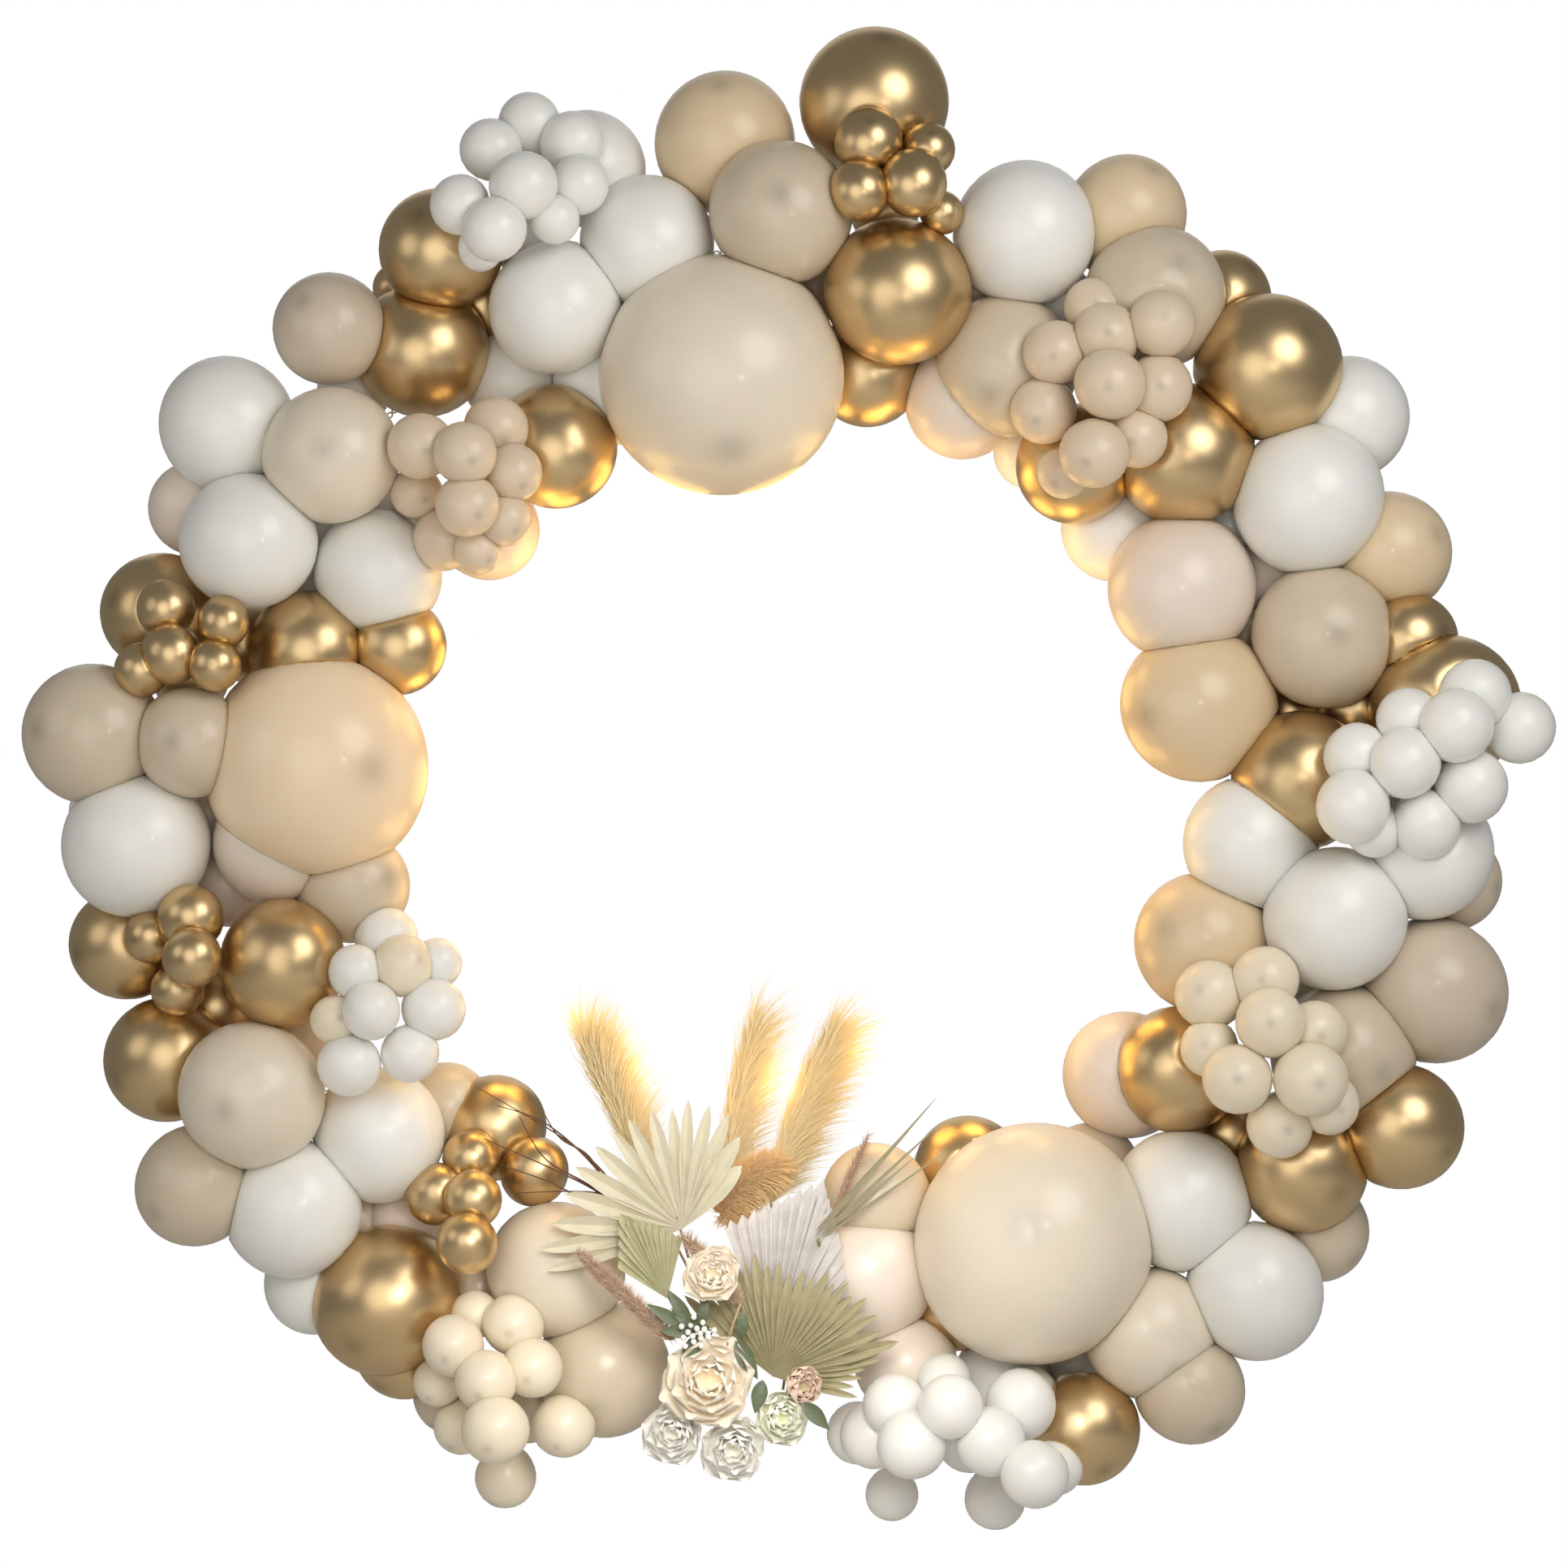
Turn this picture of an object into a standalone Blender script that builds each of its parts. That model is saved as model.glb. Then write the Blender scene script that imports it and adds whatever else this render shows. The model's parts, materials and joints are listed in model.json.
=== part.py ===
"""Ring garland of latex balloons on a decorating strip, with a dried flower bouquet.

Metres, +Z up, the front faces -Y. The origin is the strip's hanging point: the top of the
ring, on its back face.
"""

import math

import bmesh
import bpy
from mathutils import Vector
from mathutils.bvhtree import BVHTree

# The strip that carries everything
STRIP_DIAMETER = 2.0
STRIP_WIDTH = 0.012
STRIP_THICKNESS = 0.002
STRIP_SIDES = 40

# Inflated sizes of the three kinds of balloon
MINI_DIAMETER = 0.123
LARGE_DIAMETER = 0.261
HUGE_DIAMETER = 0.440

# How the balloons sit
NECK_LENGTH = 0.006  # from the strip to the neck of a balloon tied on it
PRESS = 0.95  # distance of two pressed balloons, as a share of their radii together
MATE_PRESS = 0.83  # the same, at most, for balloons tied together in one node
NECK_STRETCH = 1.14  # a balloon's length towards its neck, as a share of its radius
CLEARANCE = 0.0004  # between separate pieces that touch

# Each kind of balloon: sides round, rings along, and how far the corners stand out,
# so that the faceted balloon has the round one's volume
MINI_FACETS = (5, 2, 1.08)
LARGE_FACETS = (6, 3, 1.05)
HUGE_FACETS = (12, 5, 1.02)

# The drawing grid: places count across and down from the garland's upper left corner
STRIP_CENTRE = (960, 975)
STRIP_STEPS = 667  # grid steps in the strip's radius
MINI_STEPS = 41  # grid steps in the radius of a balloon with the kind's full size
LARGE_STEPS = 87
HUGE_STEPS = 147

# The bouquet
STEM_DIAMETER = 0.005
TIE_FIRST = 846  # grid place across of the first stem on the strip
TIE_SPACING = 13.5  # grid steps from one stem to the next
FAN_THICKNESS = 0.003
PLEAT_DEPTH = 0.005
PAMPAS_DIAMETER = 0.085
FOXTAIL_DIAMETER = 0.034
ROSE_DIAMETERS = {"front": 0.150, "upper": 0.100, "left": 0.105, "middle": 0.110, "right": 0.100}

# Layers of balloons, from the strip outwards
BACK, MIDDLE, FRONT, MINI, MINI_FRONT = range(5)
FURTHEST = (0.19, 0.22, 0.28, 0.36, 0.42)  # how far out the centres of each layer may come

# Depth of each bouquet layer in front of the strip, each told from the layer behind it
PAMPAS_DEPTH = 0.16
PALM_GAP = 0.0295  # from the fronts of the rearmost large balloons
FOXTAIL_GAP = 0.06
LOW_ROSE_GAP = 0.02
ROSE_GAP = 0.06
PALM_DEPTH = FURTHEST[BACK] + LARGE_DIAMETER / 2 + PALM_GAP
FOXTAIL_DEPTH = PALM_DEPTH + FOXTAIL_GAP
LOW_ROSE_DEPTH = FOXTAIL_DEPTH + LOW_ROSE_GAP
ROSE_DEPTH = FOXTAIL_DEPTH + ROSE_GAP

# Colours as they look in daylight
WHITE = (0.90, 0.89, 0.86)
SAND = (0.76, 0.69, 0.60)
CREAM = (0.88, 0.78, 0.60)
NUDE = (0.86, 0.71, 0.54)
GOLD = (0.72, 0.53, 0.25)

# Every balloon: place across, place down, radius in grid steps, layer
BALLOONS = {
    "gold_balloons_top": (GOLD, [
        (1077, 126, 90, MIDDLE),
        (1069, 181, 42, MINI), (1136, 224, 42, MINI),
        (1058, 243, 38, MINI),
    ]),
    "cream_and_sand_balloons_top": (CREAM, [(893, 176, 85, MIDDLE), (962, 262, 88, FRONT)]),
    "gold_balloons_inner_top": (GOLD, [(1106, 359, 90, FRONT), (1060, 478, 68, BACK)]),
    "huge_balloon_top": (NUDE, [(889, 462, 148, FRONT)]),
    "pale_balloons_upper_right": (WHITE, [
        (1262, 288, 88, MIDDLE), (1399, 265, 74, BACK), (1423, 366, 87, MIDDLE),
    ]),
    "nude_balloons_upper_right": (NUDE, [
        (1240, 450, 87, MIDDLE), (1188, 492, 72, BACK),
        (1384, 407, 41, MINI), (1442, 397, 42, MINI),
        (1306, 433, 40, MINI), (1368, 480, 44, MINI_FRONT), (1431, 478, 42, MINI),
        (1293, 514, 41, MINI), (1344, 560, 43, MINI_FRONT), (1395, 551, 38, MINI),
    ]),
    "gold_balloons_upper_right": (GOLD, [
        (1503, 373, 62, BACK), (1562, 453, 90, MIDDLE), (1459, 560, 88, MIDDLE),
        (1309, 572, 73, MIDDLE),
    ]),
    "white_balloons_upper_right": (WHITE, [(1660, 515, 74, BACK), (1612, 614, 93, MIDDLE)]),
    "pale_balloons_inner_right": (WHITE, [
        (1375, 650, 65, BACK), (1457, 724, 90, MIDDLE), (1478, 868, 94, MIDDLE),
    ]),
    "sand_balloons_right": (SAND, [(1715, 674, 76, BACK), (1631, 784, 88, MIDDLE)]),
    "gold_balloons_outer_right": (GOLD, [(1735, 790, 60, BACK), (1780, 872, 90, MIDDLE)]),
    "gold_balloon_inner_right": (GOLD, [(1602, 962, 86, MIDDLE)]),
    "white_balloons_right": (WHITE, [
        (1785, 1085, 62, BACK), (1775, 1035, 83, MIDDLE), (1645, 1132, 88, FRONT),
        (1520, 1020, 83, MIDDLE),
        (1818, 856, 44, MINI), (1735, 886, 39, MINI), (1801, 895, 46, MINI_FRONT),
        (1886, 907, 44, MINI), (1672, 926, 41, MINI), (1732, 940, 44, MINI_FRONT),
        (1816, 966, 45, MINI), (1667, 994, 46, MINI_FRONT), (1757, 1016, 43, MINI),
        (1690, 1022, 35, MINI),
    ]),
    "cream_balloons_lower_right": (CREAM, [
        (1485, 1162, 86, MIDDLE),
        (1491, 1231, 43, MINI), (1562, 1207, 42, MINI), (1565, 1260, 43, MINI_FRONT),
        (1620, 1273, 40, MINI), (1490, 1298, 36, MINI), (1525, 1330, 43, MINI_FRONT),
        (1615, 1330, 46, MINI_FRONT), (1637, 1360, 38, MINI), (1570, 1389, 41, MINI),
    ]),
    "sand_balloons_lower_right": (SAND, [(1765, 1220, 89, MIDDLE), (1655, 1300, 88, MIDDLE)]),
    "gold_balloon_inner_lower_right": (GOLD, [(1453, 1318, 78, MIDDLE)]),
    "pale_balloon_inner_lower_right": (WHITE, [(1388, 1325, 76, BACK)]),
    "gold_balloons_outer_lower_right": (GOLD, [(1742, 1380, 76, MIDDLE), (1605, 1438, 80, MIDDLE)]),
    "white_balloons_lower_right": (WHITE, [
        (1456, 1480, 87, MIDDLE), (1545, 1590, 84, MIDDLE), (1640, 1500, 62, BACK),
        (1402, 1650, 82, MIDDLE), (1465, 1710, 67, MIDDLE),
    ]),
    "huge_balloon_lower_right": (NUDE, [(1273, 1533, 147, FRONT)]),
    "gold_balloon_bottom": (GOLD, [(1335, 1760, 68, MIDDLE)]),
    "white_balloons_bottom": (WHITE, [
        (1235, 1700, 60, BACK),
        (1040, 1765, 38, MINI), (1050, 1811, 42, MINI_FRONT), (1099, 1724, 38, MINI),
        (1118, 1785, 43, MINI_FRONT), (1167, 1730, 40, MINI_FRONT),
        (1249, 1740, 44, MINI_FRONT), (1305, 1747, 38, MINI), (1201, 1801, 43, MINI_FRONT),
        (1278, 1819, 42, MINI_FRONT), (1151, 1852, 41, MINI),
    ]),
    "gold_balloon_inner_bottom": (GOLD, [(1195, 1445, 68, BACK)]),
    "gold_balloon_low_bottom": (GOLD, [(1175, 1600, 65, BACK)]),
    "pale_balloons_inner_bottom": (WHITE, [
        (1120, 1690, 62, BACK), (1072, 1571, 82, MIDDLE), (1080, 1480, 68, MIDDLE),
    ]),
    "cream_balloons_bottom_left": (CREAM, [
        (752, 1705, 82, MIDDLE), (685, 1565, 84, MIDDLE),
        (551, 1650, 38, MINI), (625, 1642, 38, MINI),
        (590, 1704, 38, MINI_FRONT), (662, 1699, 37, MINI),
        (612, 1772, 42, MINI_FRONT), (685, 1770, 39, MINI),
    ]),
    "gold_balloon_bottom_left": (GOLD, [(478, 1602, 92, MIDDLE)]),
    "gold_balloons_inner_lower_left": (GOLD, [
        (608, 1390, 64, MIDDLE), (675, 1462, 42, MIDDLE),
        (516, 1494, 39, MINI), (564, 1448, 35, MINI), (608, 1481, 36, MINI),
        (574, 1542, 38, MINI),
    ]),
    "white_balloons_lower_left": (WHITE, [
        (480, 1387, 82, MIDDLE), (360, 1488, 85, MIDDLE),
    ]),
    "gold_balloon_left": (GOLD, [(348, 1187, 78, FRONT)]),
    "gold_balloons_outer_left": (GOLD, [
        (158, 1162, 69, MIDDLE),
        (262, 1117, 41, MINI), (200, 1150, 33, MINI), (237, 1193, 37, MINI_FRONT),
    ]),
    "gold_balloon_outer_lower_left": (GOLD, [(207, 1305, 77, MIDDLE)]),
    "nude_balloons_lower_left": (NUDE, [(243, 1460, 74, MIDDLE), (310, 1350, 90, FRONT)]),
    "pale_balloons_left": (WHITE, [
        (168, 1040, 90, MIDDLE), (110, 893, 85, MIDDLE), (240, 915, 68, FRONT),
    ]),
    "huge_balloon_left": (NUDE, [(389, 944, 138, MIDDLE)]),
    "white_balloons_inner_left": (WHITE, [
        (338, 1040, 75, MIDDLE), (432, 1092, 70, MIDDLE),
        (482, 1165, 38, MINI), (538, 1187, 31, MINI), (497, 1190, 38, MINI),
        (438, 1198, 34, MINI), (534, 1243, 39, MINI), (408, 1258, 31, MINI),
        (460, 1252, 36, MINI_FRONT), (431, 1315, 39, MINI), (505, 1298, 36, MINI),
    ]),
    "gold_balloons_upper_left": (GOLD, [
        (200, 755, 73, MIDDLE),
        (205, 749, 36, MINI), (276, 763, 32, MINI), (212, 817, 38, MINI_FRONT),
        (281, 823, 33, MINI),
    ]),
    "gold_balloons_inner_left": (GOLD, [(378, 800, 72, MIDDLE), (495, 795, 60, MIDDLE)]),
    "white_balloons_upper_left": (WHITE, [
        (232, 620, 57, BACK), (285, 512, 83, MIDDLE), (306, 667, 84, FRONT),
    ]),
    "white_balloon_inner_upper_left": (WHITE, [(465, 706, 78, MIDDLE)]),
    "nude_balloon_upper_left": (NUDE, [(408, 561, 84, FRONT)]),
    "nude_balloons_inner_upper_left": (NUDE, [
        (600, 650, 62, BACK), (530, 650, 50, BACK),
        (601, 500, 40, MINI), (514, 549, 41, MINI), (572, 550, 39, MINI_FRONT),
        (632, 574, 37, MINI), (568, 620, 39, MINI_FRONT),
        (624, 637, 33, MINI), (549, 667, 38, MINI), (600, 682, 29, MINI),
    ]),
    "gold_and_nude_balloons_top_left": (GOLD, [
        (520, 432, 82, MIDDLE), (547, 290, 75, MIDDLE), (405, 405, 68, MIDDLE),
    ]),
    "gold_balloon_inner_top_left": (GOLD, [(685, 550, 74, MIDDLE)]),
    "white_balloons_top_left": (WHITE, [
        (715, 195, 70, BACK), (797, 300, 83, MIDDLE), (665, 392, 82, FRONT),
        (765, 480, 75, BACK),
        (645, 148, 38, MINI), (597, 190, 38, MINI), (702, 172, 39, MINI),
        (561, 248, 37, MINI), (640, 223, 42, MINI_FRONT), (715, 236, 37, MINI),
        (608, 284, 40, MINI_FRONT), (678, 277, 31, MINI),
    ]),
}


def grid_step():
    """The length of one step of the drawing grid."""
    return STRIP_DIAMETER / 2 / STRIP_STEPS


def place(across, down, depth):
    """The point at this place on the grid and this depth in front of the wall."""
    step = grid_step()
    x = (across - STRIP_CENTRE[0]) * step
    z = (STRIP_CENTRE[1] - down) * step - STRIP_DIAMETER / 2
    return Vector((x, -depth, z))


class Balloon:
    """One balloon: its node, kind, radius, centre and axis.

    It keeps its place beside the node's largest balloon, which stands at the grid place root.
    """

    def __init__(self, node, root, across, down, steps, layer):
        self.node = node
        self.layer = layer
        if layer >= MINI:
            self.radius = MINI_DIAMETER / 2 * steps / MINI_STEPS
            self.facets = MINI_FACETS
        elif steps > 120:
            self.radius = HUGE_DIAMETER / 2 * steps / HUGE_STEPS
            self.facets = HUGE_FACETS
        else:
            self.radius = LARGE_DIAMETER / 2 * steps / LARGE_STEPS
            self.facets = LARGE_FACETS
        self.nearest = STRIP_THICKNESS + NECK_LENGTH + self.radius * self.facets[2] * NECK_STRETCH
        step = self.radius / steps
        beside = Vector(((across - root[0]) * step, 0.0, (root[1] - down) * step))
        self.centre = place(*root, self.nearest) + beside

    def aim(self):
        """Turns the neck to the nearest point of the strip."""
        middle = place(*STRIP_CENTRE, 0.0)
        out = Vector((self.centre.x - middle.x, 0.0, self.centre.z - middle.z)).normalized()
        tie = middle + out * STRIP_DIAMETER / 2
        self.axis = (self.centre - tie).normalized()


def root_place(members):
    """The grid place of a node's largest balloon."""
    return max(members, key=lambda member: member[2])[:2]


def settled_balloons():
    """All balloons from the strip outwards, each resting on those behind it."""
    waiting = []
    for node, (_, members) in BALLOONS.items():
        waiting += [Balloon(node, root_place(members), *member) for member in members]
    waiting.sort(key=lambda balloon: balloon.layer)
    placed = []
    for balloon in waiting:
        for other in placed:
            reach = PRESS * (balloon.radius + other.radius)
            apart = apart_across(balloon, other)
            if apart < reach:
                rest = other.centre.y - math.sqrt(reach**2 - apart**2)
                balloon.centre.y = min(balloon.centre.y, rest)
        balloon.centre.y = max(balloon.centre.y, -FURTHEST[balloon.layer])
        placed.append(balloon)
    for node in BALLOONS:
        gather([balloon for balloon in placed if balloon.node == node])
    for balloon in placed:
        balloon.centre.y = min(balloon.centre.y, -balloon.nearest)
        balloon.aim()
    return placed


def apart_across(balloon, other):
    """The distance of two centres as seen from the front."""
    return math.hypot(balloon.centre.x - other.centre.x, balloon.centre.z - other.centre.z)


def spacing(first, second):
    """The distance of two centres as a share of the two radii together."""
    return (first.centre - second.centre).length / (first.radius + second.radius)


def gather(mates):
    """Draws the balloons tied together in one node up against each other."""
    together = [max(mates, key=lambda balloon: balloon.radius)]
    loose = [balloon for balloon in mates if balloon is not together[0]]
    while loose:
        pairs = [(spacing(one, other), k, m) for k, one in enumerate(loose)
                 for m, other in enumerate(together)]
        share, k, m = min(pairs)
        balloon = loose.pop(k)
        if share > MATE_PRESS:
            between = balloon.centre - together[m].centre
            balloon.centre = together[m].centre + between * (MATE_PRESS / share)
        together.append(balloon)


def skin(rings, sides, twist=0.0):
    """A closed body through rings of (centre, axis, radius, wave). A radius of 0 is a point.

    A twist turns every second ring by that share of a side, and the faces are then triangles.
    """
    bm = bmesh.new()
    rows = []
    for number, (centre, axis, radius, wave) in enumerate(rings):
        if radius == 0:
            rows.append([bm.verts.new(centre)])
            continue
        side = axis.cross(Vector((0.31, 0.12, 0.94))).normalized()
        up = side.cross(axis).normalized()
        row = []
        for k in range(sides):
            turn = 2 * math.pi * (k + twist * (number % 2)) / sides
            reach = radius * (1 + wave * (-1) ** k)
            row.append(
                bm.verts.new(centre + side * math.cos(turn) * reach + up * math.sin(turn) * reach)
            )
        rows.append(row)
    for number, (low, high) in enumerate(zip(rows, rows[1:])):
        for k in range(sides):
            after = (k + 1) % sides
            a, b = low[k % len(low)], low[after % len(low)]
            d, c = high[k % len(high)], high[after % len(high)]
            if a is b:
                bm.faces.new((a, c, d))
            elif c is d:
                bm.faces.new((a, b, c))
            elif not twist:
                bm.faces.new((a, b, c, d))
            elif number % 2:
                bm.faces.new((a, b, c))
                bm.faces.new((a, c, d))
            else:
                bm.faces.new((a, b, d))
                bm.faces.new((b, c, d))
    for row in (rows[0], rows[-1]):
        if len(row) > 1:
            bm.faces.new(row)
    bmesh.ops.recalc_face_normals(bm, faces=bm.faces)
    return bm


def balloon_body(balloon):
    """A faceted balloon, round at the crown and drawn out to the neck."""
    sides, count, swell = balloon.facets
    size = balloon.radius * swell
    rings = []
    for k in range(count + 2):
        angle = math.pi * k / (count + 1)
        along = math.cos(angle) * size
        if along < 0:
            along *= NECK_STRETCH
        width = math.sin(angle) * size if 0 < k <= count else 0
        rings.append((balloon.centre + balloon.axis * along, balloon.axis, width, 0.0))
    return skin(rings, sides, 0.5 if balloon.facets == MINI_FACETS else 0.0)


def press_flat(bm, balloon, other):
    """Cuts a body off at the plane where its balloon presses on the other one."""
    between = other.centre - balloon.centre
    span = between.length
    along = (span**2 + balloon.radius**2 - other.radius**2) / (2 * span)
    point = balloon.centre + between.normalized() * (along - CLEARANCE / 2)
    geometry = bm.verts[:] + bm.edges[:] + bm.faces[:]
    bmesh.ops.bisect_plane(
        bm, geom=geometry, dist=1e-6, plane_co=point, plane_no=between, clear_outer=True
    )
    rim = [edge for edge in bm.edges if edge.is_boundary]
    if rim:
        bmesh.ops.contextual_create(bm, geom=rim)
    if not bm.faces:
        raise ValueError(f"a balloon of {balloon.node} is cut away by one of {other.node}")


def tidy_mesh(bm):
    """Merges points that coincide and turns all faces outwards."""
    bmesh.ops.remove_doubles(bm, verts=bm.verts, dist=0.0001)
    bmesh.ops.dissolve_degenerate(bm, edges=bm.edges, dist=0.0001)
    bmesh.ops.dissolve_limit(bm, angle_limit=0.01, verts=bm.verts, edges=bm.edges)
    bmesh.ops.recalc_face_normals(bm, faces=bm.faces)


def new_object(name, bm, colour, roughness=0.45, metallic=0.0):
    """A finished piece with its own material."""
    tidy_mesh(bm)
    mesh = bpy.data.meshes.new(name)
    bm.to_mesh(mesh)
    bm.free()
    body = bpy.data.objects.new(name, mesh)
    bpy.context.scene.collection.objects.link(body)
    material = bpy.data.materials.new(name)
    material.use_nodes = True
    shader = material.node_tree.nodes["Principled BSDF"]
    shader.inputs["Base Color"].default_value = (*colour, 1.0)
    shader.inputs["Roughness"].default_value = roughness
    shader.inputs["Metallic"].default_value = metallic
    mesh.materials.append(material)
    return body


def joined(bodies):
    """One body from several that overlap, in the order given."""
    whole = bodies[0]
    for extra in bodies[1:]:
        first = helper_object("whole", whole)
        second = helper_object("extra", extra)
        union = first.modifiers.new("join", "BOOLEAN")
        union.operation = "UNION"
        union.solver = "EXACT"
        union.object = second
        graph = bpy.context.evaluated_depsgraph_get()
        mesh = bpy.data.meshes.new_from_object(first.evaluated_get(graph))
        whole = bmesh.new()
        whole.from_mesh(mesh)
        for helper in (first, second):
            bpy.data.objects.remove(helper)
        bpy.data.meshes.remove(mesh)
    return whole


def helper_object(name, bm):
    """A hidden object that a union works on."""
    mesh = bpy.data.meshes.new(name)
    bm.to_mesh(mesh)
    bm.free()
    helper = bpy.data.objects.new(name, mesh)
    helper.hide_render = True
    helper.display_type = "WIRE"
    bpy.context.scene.collection.objects.link(helper)
    return helper


def make_balloons():
    """Every node of balloons, each balloon pressed flat against its neighbours."""
    placed = settled_balloons()
    bodies = [balloon_body(balloon) for balloon in placed]
    trees = [BVHTree.FromBMesh(body) for body in bodies]
    for first, balloon in enumerate(placed):
        for second in range(first):
            other = placed[second]
            if other.node != balloon.node and trees[first].overlap(trees[second]):
                press_flat(bodies[first], balloon, other)
                press_flat(bodies[second], other, balloon)
    for node, (colour, _) in BALLOONS.items():
        members = [body for body, balloon in zip(bodies, placed) if balloon.node == node]
        is_gold = colour == GOLD
        new_object(node, joined(members), colour, 0.22 if is_gold else 0.4, float(is_gold))


def make_strip():
    """The flat ring behind the balloons."""
    bm = bmesh.new()
    middle = place(*STRIP_CENTRE, 0.0)
    rows = []
    for depth, half in ((0, -1), (0, 1), (STRIP_THICKNESS, 1), (STRIP_THICKNESS, -1)):
        radius = STRIP_DIAMETER / 2 + half * STRIP_WIDTH / 2
        row = []
        for k in range(STRIP_SIDES):
            turn = 2 * math.pi * k / STRIP_SIDES
            out = Vector((math.sin(turn), 0.0, math.cos(turn)))
            row.append(bm.verts.new(middle + out * radius + Vector((0.0, -depth, 0.0))))
        rows.append(row)
    for low, high in zip(rows, rows[1:] + rows[:1]):
        for k in range(STRIP_SIDES):
            after = (k + 1) % STRIP_SIDES
            bm.faces.new((low[k], low[after], high[after], high[k]))
    new_object("strip", bm, (0.85, 0.85, 0.82), 0.3)


def tie_point(number):
    """Where a stem ends, just in front of the strip. Stems count from left to right."""
    across = TIE_FIRST + number * TIE_SPACING
    down = STRIP_CENTRE[1] + math.sqrt(STRIP_STEPS**2 - (across - STRIP_CENTRE[0]) ** 2)
    return place(across, down, STRIP_THICKNESS + CLEARANCE)


def stem_rings(tie, via, end):
    """Rings of a stem that leaves the strip forwards, passes the points via and reaches its end."""
    points = [tie, tie + Vector((0.0, -0.02, 0.0)), *(place(*point) for point in via), end]
    rings = []
    for k, point in enumerate(points):
        ahead = points[min(k + 1, len(points) - 1)] - points[max(k - 1, 0)]
        axis = Vector((0.0, -1.0, 0.0)) if k == 0 else ahead.normalized()
        rings.append((point, axis, STEM_DIAMETER / 2, 0.0))
    return rings


def make_plume(name, number, path, depth, diameter, shares, colour, via=()):
    """A pampas plume or a foxtail: a stem that swells into a soft spindle."""
    points = [place(across, down, depth) for across, down in path]
    rings = stem_rings(tie_point(number), via, points[0])
    for k, (point, share) in enumerate(zip(points, shares)):
        ahead = points[min(k + 1, len(points) - 1)] - points[max(k - 1, 0)]
        if k:
            rings.append((point, ahead.normalized(), diameter / 2 * share, 0.0))
    new_object(name, skin(rings, 6), colour, 0.9)


def fan_body(hub, tips, notch, depth):
    """A pleated palm leaf: a thin sheet from its hub to pointed leaflets."""
    outline = [Vector(hub)]
    lift = [0.0]
    for k, tip in enumerate(tips):
        outline.append(Vector(tip))
        lift.append(0.0)
        if k + 1 < len(tips):
            halfway = (Vector(tip) + Vector(tips[k + 1])) / 2
            outline.append(Vector(hub) + (halfway - Vector(hub)) * notch)
            lift.append(PLEAT_DEPTH)
    bm = bmesh.new()
    front = [bm.verts.new(place(*p, depth + FAN_THICKNESS + up)) for p, up in zip(outline, lift)]
    back = [bm.verts.new(place(*p, depth + up)) for p, up in zip(outline, lift)]
    count = len(outline)
    for k in range(1, count - 1):
        bm.faces.new((front[0], front[k], front[k + 1]))
        bm.faces.new((back[0], back[k + 1], back[k]))
    for k in range(count):
        after = (k + 1) % count
        bm.faces.new((front[k], back[k], back[after], front[after]))
    bmesh.ops.recalc_face_normals(bm, faces=bm.faces)
    return bm


def make_fan(name, number, hub, tips, notch, depth, colour):
    """A palm fan with its stalk back to the strip."""
    leaf = fan_body(hub, tips, notch, depth)
    middle = Vector(hub).lerp(Vector(tips[len(tips) // 2]), 0.10)
    end = place(*middle, depth + FAN_THICKNESS + PLEAT_DEPTH / 2)
    stalk = skin(stem_rings(tie_point(number), (), end), 5)
    new_object(name, joined([leaf, stalk]), colour, 0.8)


def make_rose(name, number, where, diameter, tilt, colour, via=()):
    """A rose: calyx, outer petals, an inner cup and a bud, on a stem."""
    centre = place(*where)
    facing = Vector((tilt[0], -1.0, tilt[1])).normalized()
    half = diameter / 2
    back = centre - facing * half * 0.62
    rings = stem_rings(tie_point(number), via, back)
    for radius, along, wave in ((0.42, -0.46, 0.0), (0.82, -0.20, 0.04), (1.0, 0.10, 0.07),
                                (0.74, 0.22, 0.0), (0.66, 0.02, 0.0), (0.60, 0.34, 0.08),
                                (0.36, 0.22, 0.0), (0.30, 0.46, 0.06), (0.0, 0.40, 0.0)):
        rings.append((centre + facing * half * along, facing, half * radius, wave))
    new_object(name, skin(rings, 8), colour, 0.6)


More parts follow.
